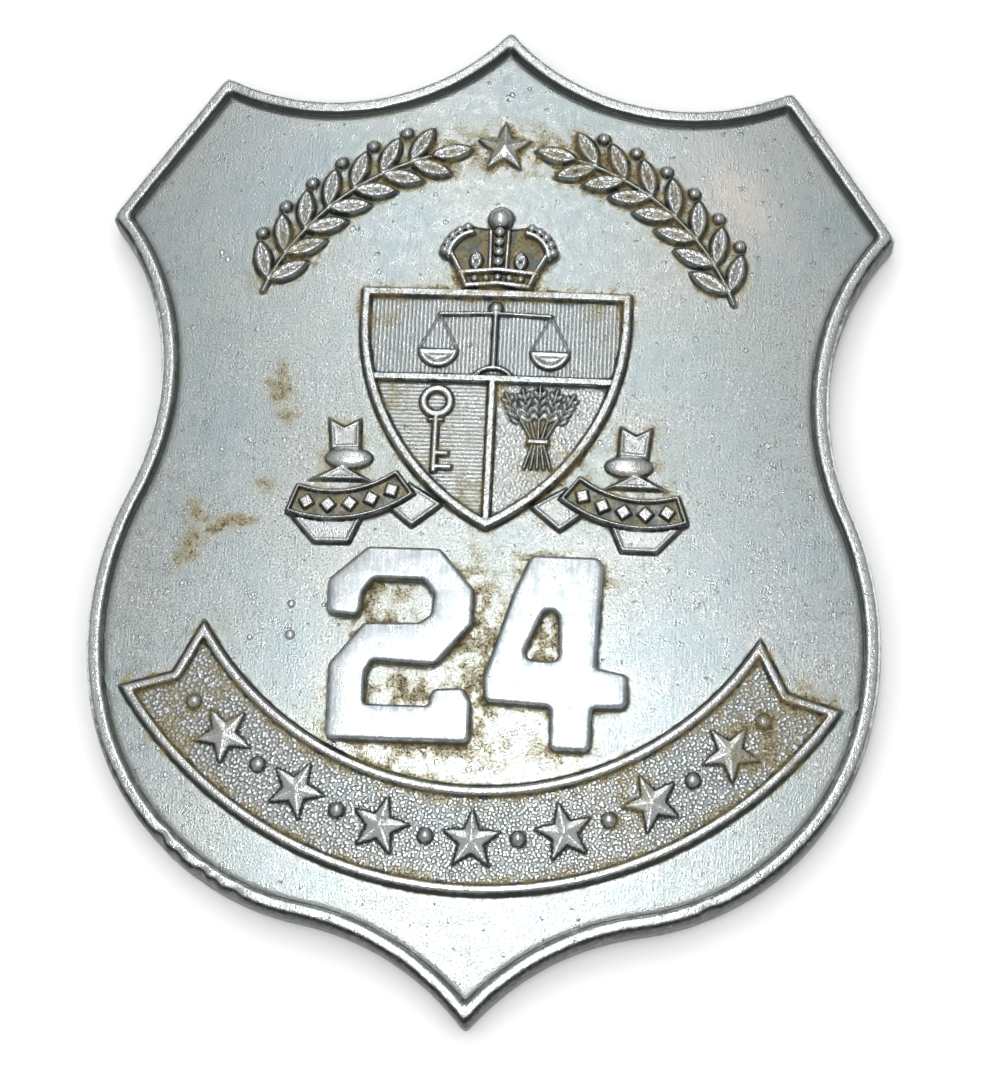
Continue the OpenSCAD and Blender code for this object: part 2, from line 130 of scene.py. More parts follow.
def colour(name, text, value):
    """A colour setting."""
    return FloatVectorProperty(name=name, description=text, default=value, min=0, max=1, subtype="COLOR")


class BadgeOutline(bpy.types.PropertyGroup):
    """Sizes of the shield's outline and plate."""

    badge_h: length("Height", "Height of the badge from the apex to the tip", PLATE_H)
    badge_w: length("Width", "Width of the badge across its outer ear corners", PLATE_W)
    ear_x: length("Ear half width", "Half the distance between the upper ear corners", 18.9)
    ear_y: length("Ear height", "Height of the upper ear corners above the middle", 29.6)
    ear_out_y: length("Outer ear height", "Height of the outer ear corners above the middle", 19.1)
    crest_r: length("Crest radius", "Radius of the hollow curves beside the apex", 14.6)
    waist_r: length("Waist radius", "Radius of the hollow curves at the waist", 17.8)
    belly_x: length("Belly centre", "Sideways place of the belly curve's centre", 3.5)
    belly_drop: length("Belly drop", "Depth of the belly curve's centre below the middle", 9)
    belly_r: length("Belly radius", "Radius of the belly curve", 21.75)
    jowl_angle: turn("Jowl angle", "Angle at which the belly turns into the tighter jowl curve", -12)
    jowl_r: length("Jowl radius", "Radius of the jowl curve below the belly", 17.4)
    foot_r: length("Foot radius", "Radius of the hollow curves beside the tip", 17.6)
    plate_t: length("Plate thickness", "Thickness of the plate", 2)
    dome_r: length("Dome radius", "Radius of the plate's domed face", 200)
    rim_w: length("Rim width", "Width of the raised rim", 1.15)
    rim_h: length("Rim height", "Height of the rim's crest above the face", 0.55)
    rim_unevenness: length("Rim unevenness", "How far the cast rim's crest rises and falls", 0.035)


class BadgeRelief(bpy.types.PropertyGroup):
    """Sizes of the cast relief on the plate's face."""

    laurel_r: length("Laurel radius", "Radius of the laurel stem's curve", 16.4)
    laurel_span: turn("Laurel span", "Angle from the top at which each spray starts", 69)
    laurel_pairs: IntProperty(name="Leaf pairs", description="Leaf pairs in each spray", default=7, min=1)
    leaf_l: length("Leaf length", "Length of a leaf", 3.0)
    leaf_w: length("Leaf width", "Width of a leaf", 1.2)
    arms_w: length("Arms width", "Width of the small shield of arms", 17.4)
    arms_top: length("Arms top", "Height of the top edge of the arms above the middle", 14)
    arms_drop: length("Arms drop", "Depth of the tip of the arms below the middle", 2.1)
    arms_border: length("Arms border", "Width of the raised border of the arms", 0.55)
    crown_w: length("Crown width", "Width of the crown at its arches", 7.2)
    crown_h: length("Crown height", "Height of the crown with its ball", 6.1)
    scroll_r0: length("Scroll inner radius", "Radius of the crest of the scroll's upper border", 20.75)
    scroll_r1: length("Scroll outer radius", "Radius of the crest of the scroll's lower border", 26.8)
    scroll_y: length("Scroll centre", "Height of the scroll's centre above the middle", 2)
    scroll_border: length("Scroll border", "Width of the scroll's raised border", 0.7)
    scroll_stars: IntProperty(name="Stars", description="Number of stars on the scroll", default=7, min=3)
    star_r: length("Star radius", "Outer radius of a star on the scroll", 1.95)


class BadgeNumerals(bpy.types.PropertyGroup):
    """Sizes of the applied numerals and of what holds them."""

    numeral_h: length("Numeral height", "Height of a numeral", 12.35)
    numeral_t: length("Numeral thickness", "Thickness of a numeral", 1)
    numeral_edge: length("Numeral edge", "Radius of the rounded edge of a numeral", 0.3)
    corner_r: length("Corner radius", "Radius of a numeral's corners", 0.5)
    post_d: length("Post diameter", "Diameter of the posts that hold a numeral", 1.2)
    gap: length("Gap", "Gap between a numeral and the plate", 0.05)


class BadgeFinish(bpy.types.PropertyGroup):
    """Colours and wear of the metals."""

    plate_colour: colour("Plate", "Colour of the cast plate's satin silver", (0.645, 0.71, 0.7))
    numeral_colour: colour("Numerals", "Colour of the brighter numerals", (0.92, 0.95, 0.96))
    pin_colour: colour("Pin", "Colour of the pin's strip and wire", (0.62, 0.63, 0.62))
    # Colour of crests that are rubbed bright and given a painted highlight, and of painted highlights on
    # raised dots
    crest_colour: colour("Crests", "Colour of the rubbed crests of the relief", (0.92, 0.94, 0.94))
    halo_colour: colour("Halo", "Colour of the paler face round the rim and the relief", (0.84, 0.86, 0.77))
    # Colour of a painted warm reflection of a lamp on the face
    warm_reflection_colour: colour("Warm reflection", "Colour of the warm patch on the face", (0.93, 0.865, 0.8))
    # Tarnish together with painted shade: the colour that darkens slopes, walls, hollows and grooves
    tarnish_and_shade_colour: colour("Tarnish and shade", "Colour of the dull metal on the relief's slopes", (0.1, 0.105, 0.09))
    grime_colour: colour("Grime", "Colour of the old polish and dirt in the hollows", (0.25, 0.185, 0.075))
    roughness: share("Roughness", "Roughness of the satin metal", 0.3)
    grime_amount: share("Grime", "How much grime fills the hollows", 0.44)
    # How far tarnish and painted shade darken slopes and hollows
    tarnish_and_shade_amount: share("Tarnish and shade", "How dull the relief's slopes are", 0.88)


class BadgeStage(bpy.types.PropertyGroup):
    """Floor, lights and camera."""

    floor_colour: colour("Floor", "Colour of the plain floor", (0.93, 0.93, 0.93))
    sky_light: number("Sky", "Brightness of the surroundings overhead", 0.38, min=0)
    horizon_light: number("Horizon", "Brightness of the surroundings at eye level", 0.14, min=0)
    key_light: number("Key light", "Power of the soft light over the lower face", 0.42, "POWER", min=0)
    strip_light: number("Strip light", "Power of the long light over the middle", 0.285, "POWER", min=0)
    low_light: number("Low light", "Power of the wide light over the lower edge", 0.034, "POWER", min=0)
    floor_light: number("Floor light", "Power of the light that whitens the floor", 8, "POWER", min=0)
    camera_azimuth: turn("Camera azimuth", "Turn of the camera round the badge", 11.22)
    camera_elevation: turn("Camera elevation", "Angle of the camera above the floor", 74.91)
    camera_roll: turn("Camera roll", "Turn of the camera round its own axis", -8.9)
    camera_distance: length("Camera distance", "Distance from the camera to its aim", 205.4)
    aim_x: number("Aim across", "Sideways place of the camera's aim", 0.963 * MM, "LENGTH", precision=5)
    aim_y: number("Aim up", "Place of the camera's aim up the badge", -2.872 * MM, "LENGTH", precision=5)
    focal_px: number("Focal length", "Focal length in pixels of the 1000 by 1086 image", 3242.3, min=1)


GROUPS = {
    "badge_outline": BadgeOutline,
    "badge_relief": BadgeRelief,
    "badge_numerals": BadgeNumerals,
    "badge_finish": BadgeFinish,
    "badge_stage": BadgeStage,
}


def settings(name):
    """A group's values by name, with its lengths in millimetres and its angles in degrees."""
    group = getattr(bpy.context.scene, name)
    values = {}
    for key in GROUPS[name].__annotations__:
        values[key] = getattr(group, key)
        unit = getattr(group.bl_rna.properties[key], "unit", "")
        if unit == "LENGTH":
            values[key] /= MM
        elif unit == "ROTATION":
            values[key] = math.degrees(values[key])
    return SimpleNamespace(**values)


# Plane geometry


def direction(degrees):
    """Unit vector at an angle."""
    a = np.radians(degrees)
    return np.array([np.cos(a), np.sin(a)])


def heading(v):
    """Angle of a vector in degrees."""
    return math.degrees(math.atan2(v[1], v[0]))


def crossed(u, v):
    """The cross product of plane vectors: positive where v lies to the left of u."""
    return u[..., 0] * v[..., 1] - u[..., 1] * v[..., 0]


def meet(p, rp, q, rq):
    """Point where a circle round p meets one round q, on the left of the way from p to q."""
    d = np.linalg.norm(q - p)
    along = (rp * rp - rq * rq + d * d) / (2 * d)
    u = (q - p) / d
    return p + along * u + math.sqrt(rp * rp - along * along) * np.array([-u[1], u[0]])


def arc(centre, radius, start, end, count, last=True):
    """Points on a circle from one angle to another, in even steps."""
    return np.asarray(centre) + radius * direction(np.linspace(start, end, count, endpoint=last)).T


def both(points):
    """A closed outline: its right half, and the mirror image of that less what is on the middle line."""
    flipped = points[::-1] * [-1, 1]
    return np.vstack([points, flipped[np.abs(flipped[:, 0]) > 1e-4]])


def averaged(values, passes, axes=(0,)):
    """Values averaged with their neighbours along closed rows, a number of times."""
    for _ in range(passes):
        for axis in axes:
            values = (np.roll(values, 1, axis) + 2 * values + np.roll(values, -1, axis)) / 4
    return values


class ShieldEdge:
    """The shield's outline. Each half has a hollow crest curve, a straight ear edge, a hollow waist,
    a belly, a tighter jowl and a hollow foot, and any inset keeps the same number of points."""

    counts = (96, 62, 92, 62, 104, 78)

    def __init__(self, size):
        self.size = size
        apex = np.array([0, size.badge_h / 2])
        self.ear_top = np.array([size.ear_x, size.ear_y])
        self.ear_out = np.array([size.badge_w / 2, size.ear_out_y])
        self.belly = np.array([size.belly_x, -size.belly_drop])
        self.jowl = self.belly + (size.belly_r - size.jowl_r) * direction(size.jowl_angle)
        self.crest = meet(apex, size.crest_r, self.ear_top, size.crest_r)
        self.waist = meet(self.ear_out, size.waist_r, self.belly, size.belly_r + size.waist_r)
        self.foot = meet(self.jowl, size.jowl_r + size.foot_r, -apex, size.foot_r)
        way = self.ear_out - self.ear_top
        self.ear_way = way / np.linalg.norm(way)

    def ear_corner(self, d, corner, centre, radius):
        """Where the ear edge moved inwards by d crosses the moved curve round centre, near a corner."""
        q = corner - d * np.array([-self.ear_way[1], self.ear_way[0]])
        v = q - centre
        b = v @ self.ear_way
        root = math.sqrt(b * b - (v @ v - (radius + d) ** 2))
        return q + min(-b - root, -b + root, key=abs) * self.ear_way

    def loop(self, d):
        """Points of the whole outline moved inwards by d, from the apex round by the right side."""
        s, n = self.size, self.counts
        start = np.array([0, self.crest[1] - math.sqrt((s.crest_r + d) ** 2 - self.crest[0] ** 2)])
        end = np.array([0, self.foot[1] + math.sqrt((s.foot_r + d) ** 2 - self.foot[0] ** 2)])
        upper = self.ear_corner(d, self.ear_top, self.crest, s.crest_r)
        outer = self.ear_corner(d, self.ear_out, self.waist, s.waist_r)
        crest = heading(start - self.crest), heading(upper - self.crest)
        waist, foot = heading(self.waist - self.belly), heading(self.foot - self.jowl)
        return both(np.vstack([
            arc(self.crest, s.crest_r + d, *crest, n[0], False),
            np.linspace(upper, outer, n[1], endpoint=False),
            arc(self.waist, s.waist_r + d, heading(outer - self.waist), waist + 180, n[2], False),
            arc(self.belly, s.belly_r - d, waist, s.jowl_angle, n[3], False),
            arc(self.jowl, s.jowl_r - d, s.jowl_angle, foot, n[4], False),
            arc(self.foot, s.foot_r + d, foot + 180, heading(end - self.foot), n[5]),
        ]))


class Dome:
    """The ball that the face lies on, its axis where both upper ear corners and the tip are level."""

    def __init__(self):
        size = settings("badge_outline")
        reach = size.badge_h / 2
        self.y = (size.ear_x**2 + size.ear_y**2 - reach**2) / (2 * (size.ear_y + reach))
        self.r = size.dome_r
        self.back_r = size.dome_r - size.plate_t
        self.z = -math.sqrt(self.back_r**2 - (self.y + reach) ** 2)

    def face(self, x, y, rise=0.0):
        """Height above the floor of a point that stands rise over the face."""
        return self.z + np.sqrt((self.r + rise) ** 2 - x**2 - (y - self.y) ** 2)

    def back(self, x, y, drop=0.0):
        """Height above the floor of a point that hangs drop under the back."""
        return self.z + np.sqrt((self.back_r - drop) ** 2 - x**2 - (y - self.y) ** 2)


# Distances from outlines, negative inside


def to_segment(x, y, a, b):
    """Distance to a straight line between two points."""
    ax, ay = a
    dx, dy = b[0] - ax, b[1] - ay
    t = np.clip(((x - ax) * dx + (y - ay) * dy) / max(dx * dx + dy * dy, 1e-12), 0, 1)
    return np.hypot(x - ax - t * dx, y - ay - t * dy)


def to_path(x, y, points, width):
    """Signed distance to a round-ended stroke through points."""
    found = [to_segment(x, y, a, b) for a, b in zip(points[:-1], points[1:])]
    return np.minimum.reduce(found) - width / 2


def to_polygon(x, y, points):
    """Signed distance to a closed polygon: the nearest edge's distance, negative where a ray crosses an
    odd number of edges."""
    points = np.asarray(points, float)
    near = np.full(np.shape(x), np.inf)
    inside = np.zeros(np.shape(x), bool)
    for (ax, ay), (bx, by) in zip(points, np.roll(points, -1, 0)):
        near = np.minimum(near, to_segment(x, y, (ax, ay), (bx, by)))
        if ay != by:
            inside ^= ((ay > y) != (by > y)) & (x < (bx - ax) * (y - ay) / (by - ay) + ax)
    return np.where(inside, -near, near)


def to_pierced(x, y, outline, *holes):
    """Signed distance to a closed polygon with holes."""
    return np.maximum.reduce([to_polygon(x, y, outline), *(-to_polygon(x, y, hole) for hole in holes)])


def to_disc(x, y, centre, radius):
    """Signed distance to a disc."""
    return np.hypot(x - centre[0], y - centre[1]) - radius


def to_box(x, y, corner, width, height):
    """Signed distance to an upright rectangle, given its lower left corner."""
    dx = np.abs(x - corner[0] - width / 2) - width / 2
    dy = np.abs(y - corner[1] - height / 2) - height / 2
    return np.hypot(np.maximum(dx, 0), np.maximum(dy, 0)) + np.minimum(np.maximum(dx, dy), 0)


def local(x, y, place, degrees):
    """Coordinates in a frame that stands at place and is turned."""
    c, s = direction(degrees)
    dx, dy = x - place[0], y - place[1]
    return c * dx + s * dy, c * dy - s * dx


def star_points(radius, points=5, waist=0.42):
    """Corners of a star with a point up."""
    reach = np.tile([radius, waist * radius], points)
    return (reach * direction(90 + 180 * np.arange(2 * points) / points)).T


# Cast relief: heights over the face from distances. Outside a form they fall below nought.


def bead(gone, top, soft=0.26):
    """Height of a cast form from the signed distance gone past its outline: a smooth step whose foot lies
    a third of its width outside."""
    s = np.clip((soft / 3 - gone) / soft, 0, 1)
    return top * s * s * (3 - 2 * s) - OUTSIDE * np.maximum(gone - soft / 3, 0)


def stroke(x, y, points, width, top, soft=0.22):
    """Height of a cast round-ended stroke through points."""
    return bead(to_path(x, y, points, width), top, soft)


def edged(gone, top):
    """Height of a flat fold with a slightly raised hem."""
    return bead(gone, top, 0.24) + 0.08 * np.exp(-(((gone + 0.2) / 0.1) ** 2))


def pearl(x, y, centre, radius, low, top):
    """Height of a round boss: half a ball's section standing on low."""
    far = np.hypot(x - centre[0], y - centre[1]) / radius
    ball = low + (top - low) * np.sqrt(np.maximum(1 - far**2, 0))
    return np.where(far < 1, ball, OUTSIDE * radius * (1 - far))


def facets(gone, low, top, reach):
    """Height of a faceted form, rising evenly from its outline to ridges reach inside."""
    inner = np.where(gone < 0, low + (top - low) * np.clip(-gone / reach, 0, 1), FAR)
    return np.maximum(bead(gone, low, 0.2), inner)


def leaf(x, y, place, degrees, long, wide, top):
    """Height of a pointed leaf between two circle arcs, from its base at place. It has a groove along its
    midrib and fine veins that lean towards its tip."""
    u, v = local(x, y, place, degrees)
    u = u - long / 2
    r = (long * long + wide * wide) / (4 * wide)
    gone = np.hypot(u, np.abs(v) + r - wide / 2) - r
    groove = 0.3 * np.exp(-((v / 0.1) ** 2)) * np.clip(1.1 - np.abs(u) / long * 2.2, 0, 1)
    veins = 0.03 * np.cos(2 * np.pi * (u - np.abs(v)) / 0.45)
    return bead(gone, top, 0.3) * (1 - np.where(gone < -0.05, groove + veins, 0))


def top_of(*heights):
    """The highest of several reliefs at each point."""
    return np.maximum.reduce(heights)


# Meshes


def put_mesh(name, points, quads, tris=(), marks=None):
    """An object whose mesh has these points in millimetres, and these faces and point attributes."""
    mesh = bpy.data.meshes.new(name)
    mesh.from_pydata(points * MM, [], [*np.asarray(quads).tolist(), *np.asarray(tris).tolist()])
    if mesh.validate():
        raise RuntimeError(f"{name} has faulty faces")
    mesh.shade_smooth()
    for key, values in (marks or {}).items():
        attribute = mesh.attributes.new(key, "FLOAT", "POINT")
        attribute.data.foreach_set("value", np.asarray(values, np.float32).ravel())
    made = bpy.data.objects.new(name, mesh)
    bpy.context.scene.collection.objects.link(made)
    return made


def sheet(rows):
    """The four values at each cell of a grid, in order round the cell."""
    return np.stack([rows[:-1, :-1], rows[1:, :-1], rows[1:, 1:], rows[:-1, 1:]], -1)


def closed(rows):
    """Rows that end with their own first value."""
    return np.column_stack([rows, rows[:, 0]])


def shelled(rows):
    """Points and faces of a closed skin through rows of points, from a pole at the first row's middle
    to one at the last row's. Rows run clockwise seen from above, and the first row is the lowest."""
    rows = np.asarray(rows)
    count, around = rows.shape[:2]
    points = np.vstack([rows.reshape(-1, 3), rows[0].mean(0), rows[-1].mean(0)])
    index = closed(np.arange(count * around).reshape(count, around))
    first = np.column_stack([index[0, :-1], index[0, 1:], np.full(around, count * around)])
    last = np.column_stack([index[-1, 1:], index[-1, :-1], np.full(around, count * around + 1)])
    return points, sheet(index).reshape(-1, 4), np.vstack([first, last])


def gathered(skins):
    """Points, quads and triangles of several closed skins put together."""
    points, quads, tris = zip(*skins)
    start = np.cumsum([0] + [len(part) for part in points[:-1]])
    return (np.vstack(points), np.vstack([part + k for part, k in zip(quads, start)]),
            np.vstack([part + k for part, k in zip(tris, start)]))


def steepness(x, y, height):
    """Slope of a relief over its grid, from the differences along both of its directions."""
    found = []
    for axis in (0, 1):
        step = np.hypot(np.gradient(x, axis=axis), np.gradient(y, axis=axis))
        found.append(np.gradient(height, axis=axis) / step)
    return np.hypot(*found)


def cast_relief(name, x, y, raw, marks=None):
    """A relief's skin over the face, from a grid of places and heights. It goes on over the face around the
    relief and then dives under it, and cells that lie under the face are left out. Its marks are the
    steep slopes and the hollows, which take painted shade, the crests, which are rubbed and take a painted
    highlight, and how near the face is. Marks that are given are joined to these, and a given halo takes
    the place of its own."""
    _, lift, darkest = SKINS[name]
    rise = np.maximum(raw, 0)
    off = np.maximum(-raw, 0) / OUTSIDE
    height = rise + lift - SINK * np.clip(off - APRON, 0, HEM) ** 2
    steep = np.clip(0.8 * steepness(x, y, rise) - 0.9, 0, darkest)
    reach = AVERAGED_OVER / np.hypot(x[1, 0] - x[0, 0], y[1, 0] - y[0, 0])
    around = averaged(rise, round(2 * reach * reach), (0, 1))
    found = {
        "slope": steep,
        "crest": np.clip((rise - 0.3) / 0.25, 0, 1) * (1 - steep),
        "pitted": 0.3 * (rise > 0),
        "hollow": np.clip((around - rise) / 0.16, 0, 1),
        "halo": np.clip(1 - off / APRON, 0, 1) ** 1.5 * (raw <= 0),
        "soil": soil(x, y),
        "flush": flush(x, y),
    }
    for key, value in (marks or {}).items():
        found[key] = value if key == "halo" else np.maximum(found.get(key, 0), value)
    points = np.stack([x, y, Dome().face(x, y) + height], -1).reshape(-1, 3)
    quads = sheet(np.arange(x.size).reshape(x.shape))[sheet(off).min(-1) < APRON + HEM]
    a, b, c = points[quads[0, :3]]
    if crossed(b - a, c - a) < 0:
        quads = quads[:, ::-1]
    used, places = np.unique(quads, return_inverse=True)
    kept = {key: np.ravel(value)[used] for key, value in found.items()}
    cast(put_mesh(name, points[used], places.reshape(quads.shape), marks=kept))


def grid(x0, x1, y0, y1, step):
    """A grid of places with even steps."""
    return np.meshgrid(np.arange(x0, x1 + step, step), np.arange(y0, y1 + step, step), indexing="ij")


def relief_grid(name, *bounds):
    """A relief's grid of places."""
    return grid(*bounds, SKINS[name][0])


def ring_grid(name, centre_y, r0, r1, start, end):
    """A relief's grid in a ring segment round a point of the badge's middle line: angles along its first
    direction, radii along its second."""
    step = SKINS[name][0]
    count = int(math.radians(end - start) * (r0 + r1) / 2 / step)
    turns = np.radians(np.linspace(start, end, count))
    a, r = np.meshgrid(turns, np.arange(r0, r1 + step, step), indexing="ij")
    return r * np.cos(a), centre_y + r * np.sin(a)


def waves(count, strongest, seed, high=90):
    """An uneven closed line: sines of 3 to high waves with random phases, weaker as they get shorter."""
    random = np.random.default_rng(seed)
    wave = np.arange(3, high)
    phase = random.uniform(0, 2 * np.pi, len(wave))
    weight = random.normal(0, 1, len(wave)) * (3 / wave) ** 0.35
    around = np.linspace(0, 2 * np.pi, count, endpoint=False)
    line = (weight * np.sin(around[:, None] * wave + phase)).sum(1)
    return strongest * line / np.abs(line).max()


# Places of the dirt on the face: centre, half width, half height, turn and strength
SOIL_SPOTS = (
    ((-13.9, 7.6), 0.7, 1.2, -10, 1.3), ((-13.3, 6.2), 0.8, 1.4, 20, 1.2),
    ((-14.5, 0.6), 0.8, 0.6, 0, 1.0), ((-18.6, -1.6), 0.55, 1.2, 26, 1.5),
    ((-18.8, -3.5), 0.6, 1.6, -32, 1.6), ((-16.8, -2.1), 1.9, 0.5, 14, 1.4),
    ((-19.6, -12.9), 1.6, 1.2, 0, 0.7), ((-16.6, -13.4), 1.0, 2.2, 35, 0.8),
    ((19.6, -12.2), 1.8, 1.2, 20, 1.0), ((15.5, -13.6), 1.2, 2.0, -35, 0.7),
    ((9.5, -18.6), 1.6, 2.4, -25, 0.75), ((-18.4, -14.9), 2.2, 2.0, 30, 0.85),
    ((17.9, -14.6), 2.2, 2.4, -30, 1.2), ((-4.6, -12.3), 2.0, 0.9, 0, 1.1),
    ((-13.3, 16.8), 1.6, 2.0, -35, 0.7), ((-17.0, -8.5), 1.4, 1.0, 0, 0.3),
    ((0, 14.2), 4.6, 1.1, 0, 0.75), ((2.9, 14.9), 1.2, 0.8, 0, 0.8), ((-2.6, 14.9), 1.0, 0.8, 0, 0.65),
    ((-3.5, 3.5), 3.5, 3.5, 0, 0.4), ((3.5, 2.2), 3.2, 3.6, 0, 0.5), ((9.6, 2.5), 3.2, 3.4, 0, 0.4),
    ((-9.6, 2.5), 3.2, 3.4, 0, 0.36), ((4.5, -4.5), 4.2, 1.2, -10, 0.6),
    ((-0.3, -10), 1.5, 6.5, 0, 0.85), ((-6.5, -7.5), 1.9, 3.2, 0, 0.8),
    ((5.0, -12.5), 3.0, 1.4, 0, 0.65), ((4.2, -9.6), 1.6, 2.6, 0, 0.75),
    ((-2.0, -16.5), 8.0, 1.5, 4, 0.62), ((-8.5, -14.5), 2.0, 2.0, 0, 0.5),
    ((9.5, -19.5), 4.0, 1.5, 20, 0.3), ((-15.0, -14.0), 1.2, 3.2, 25, 0.25),
    ((-7.5, 12.8), 1.4, 1.7, 0, 0.75), ((7.4, 12.8), 1.5, 1.8, 0, 0.7),
    ((-6.2, 6.6), 1.2, 1.1, 0, 0.65), ((5.4, 2.9), 1.3, 1.7, 0, 0.75), ((-1.2, 0.4), 1.3, 1.4, 0, 0.65),
    ((0.9, 6.9), 1.0, 1.0, 0, 0.6),
)


def soil(x, y):
    """How much dirt lies at a place: a wide film, soft spots, and rings along the laurel and the scroll."""
    relief = settings("badge_relief")
    found = 0.3 * np.exp(-(((x - 11) / 9) ** 2 + ((y - 17) / 8) ** 2))
    for place, wide, high, degrees, strength in SOIL_SPOTS:
        u, v = local(x, y, place, degrees)
        found = np.maximum(found, strength * np.exp(-((u / wide) ** 2 + (v / high) ** 2) ** 1.5 / 2))
    r = np.hypot(x, y - LAUREL_Y)
    a = np.degrees(np.arctan2(x, y - LAUREL_Y))
    along = np.clip(relief.laurel_span + 3 - np.abs(a), 0, 4) / 4
    laurel = along * np.exp(-(((r - relief.laurel_r) / 2.3) ** 4))
    found = np.maximum(found, laurel * (0.56 + 0.22 * np.cos(np.radians(3 * a - 40))))
    r = np.hypot(x, y - relief.scroll_y)
    a = np.degrees(np.arctan2(x, relief.scroll_y - y))
    half = (relief.scroll_r1 - relief.scroll_r0) / 2
    edge = np.abs(np.abs(r - relief.scroll_r0 - half) - half + 0.5)
    scroll = np.clip(60 - np.abs(a), 0, 2) / 2 * np.exp(-((edge / 0.7) ** 2))
    return np.maximum(found, 0.7 * scroll)


def flush(x, y):
    """How strong the painted warm reflection of a lamp is at a place: one soft patch beside the upper right
    corner.
    """
    u, v = local(x, y, REFLECTION_PLACE, REFLECTION_TURN)
    return np.exp(-((u / REFLECTION_LONG) ** 2) - (v / REFLECTION_WIDE) ** 2)


# The plate


# Nicks in the rim's outer edge: place, depth and reach
NICKS = (
    ((-19.8, -22.4), 0.3, 0.4), ((-18.7, -23.4), 0.16, 0.4), ((-17.1, -24.6), 0.3, 0.45),
    ((-16.2, -25.1), 0.2, 0.3), ((-14.9, -25.8), 0.18, 0.5), ((15.0, -25.7), 0.14, 0.5),
)
# Casting pips on the face: place and radius
PIPS = (
    ((-12.1, -7.16), 0.27), ((-12.08, -9.16), 0.34), ((-14.66, -9.37), 0.2), ((-10.02, -7.18), 0.15),
    ((-14.48, 3.52), 0.16), ((-18.26, 16.61), 0.2), ((-17.82, 16.11), 0.22), ((0.3, 28.4), 0.2),
    ((1.4, 28.9), 0.16),
)
PLATE_MARKS = ("slope", "crest", "halo", "pitted", "shade")
# Rows of points on the plate's back, over its rim's bead and over its face
BACK_ROWS, BEAD_ROWS, FACE_ROWS = 26, 20, 40


def plate_rows(size):
    """Rows of points of the plate, from the middle of its back outwards, up its wall, over its rim's bead
    and inwards over its face. A row is the outline moved inwards, or drawn together towards the pole. The
    rows' PLATE_MARKS are given with them."""
    edge, dome = ShieldEdge(size), Dome()
    outline, pole = edge.loop(0), np.array(POLE)
    around = len(outline)
    lift = 1 + waves(around, size.rim_unevenness / size.rim_h, seed=4)
    sway = waves(around, size.rim_unevenness, seed=9, high=140)
    nicks = sum(deep * np.exp(-((outline - place) ** 2).sum(1) / wide**2) for place, deep, wide in NICKS)
    rows, marks = [], []

    def inset(d, passes):
        return averaged(edge.loop(d), passes)

    def add(flat, surface, rise=0.0, slope=0.0, crest=0.0, halo=0.0, shade=0.0):
        # The nicks lend only their length, for marks that are the same all along a row
        rows.append(np.column_stack([flat, surface(*flat.T) + rise]))
        found = np.broadcast_arrays(slope, crest, halo, 0.5 * crest, shade, nicks)[:len(PLATE_MARKS)]
        marks.append(np.stack(found, -1))

    lip = inset(0.22, 6)
    for part in 1 - (1 - np.linspace(0.03, 1, BACK_ROWS)) ** 1.15:
        add(pole + (lip - pole) * part, dome.back)
    # The wall, with small rounded edges below and above, darkened with painted shade, more so towards its
    # top
    wall = [(0.06, 0.06), (0, 0.22), (0, 0.9), (0, 1.5)]
    wall += [(0, size.plate_t - 0.12), (0.03, size.plate_t + 0.02)]
    for d, up in wall:
        flat = inset(d, 6) + (0.3 * sway - nicks * up / size.plate_t)[:, None] * edge_normals(lip)
        add(flat, dome.back, up, 1.0, shade=0.3 + 0.45 * up / size.plate_t)
    # The bead: a flattened arch over the rim's width, with a painted highlight on its rubbed crest and
    # painted shade where it turns down. More of its outer side is shaded where the outline faces down, and
    # more of its inner side where it faces up
    faces_up = edge_normals(inset(0, 12))[:, 1]
    down, up = np.clip(-1.5 * faces_up, 0, 1), np.clip(1.5 * faces_up, 0, 1)
    for t in np.linspace(0.06, 1, BEAD_ROWS):
        arch = (1 - np.abs(2 * t - 1) ** 4.2) ** 0.85
        rise = size.rim_h * arch * lift - 0.05 * t**6 - 0.6 * nicks * (1 - t)
        flat = inset(size.rim_w * t, max(2, round(6 - 5 * t)))
        flat = flat - (sway * math.sin(math.pi * t) + nicks * (1 - t))[:, None] * edge_normals(flat)
        outer = np.clip((0.22 + 0.2 * down - t) / 0.15, 0, 1)
        inner = np.clip((t - 0.8 + 0.12 * up) / 0.12, 0, 1)
        tilt = np.maximum(outer * (0.4 + 0.55 * down), 0.95 * inner)
        add(flat, dome.face, rise, tilt, 0.9 - 0.9 * tilt, shade=0.6 * outer * down)
    # The face: a fillet beside the rim, whose first row takes painted shade, then even steps to the pole
    for more, rise in ((0.06, -0.05), (0.1, -0.04), (0.2, -0.01), (0.32, 0), (0.6, 0), (0.9, 0)):
        add(inset(size.rim_w + more, 2), dome.face, rise, 0.9 * (more < 0.08), halo=math.exp(-more / 0.5))
    last = inset(size.rim_w + 1.3, 2)
    for part in np.linspace(1, 0.02, FACE_ROWS):
        add(pole + (last - pole) * part, dome.face, halo=0.07 * max(0, (part - 0.9) / 0.1))
    return np.array(rows), np.array(marks)


def edge_normals(loop):
    """Unit vectors out of a clockwise closed loop at its points."""
    along = np.roll(loop, -1, 0) - np.roll(loop, 1, 0)
    along /= np.linalg.norm(along, axis=1)[:, None]
    return np.column_stack([-along[:, 1], along[:, 0]])


def turned_rows(profile, place, count=28):
    """Rows of points of a form turned round an upright axis at place: its profile's radii and heights,
    carried round clockwise."""
    a = -np.linspace(0, 2 * np.pi, count, endpoint=False)
    profile = np.asarray(profile, float)
    x = place[0] + profile[:, :1] * np.cos(a)
    y = place[1] + profile[:, :1] * np.sin(a)
    return np.stack([x, y, np.broadcast_to(profile[:, 1:], x.shape)], -1)


# The relief's parts


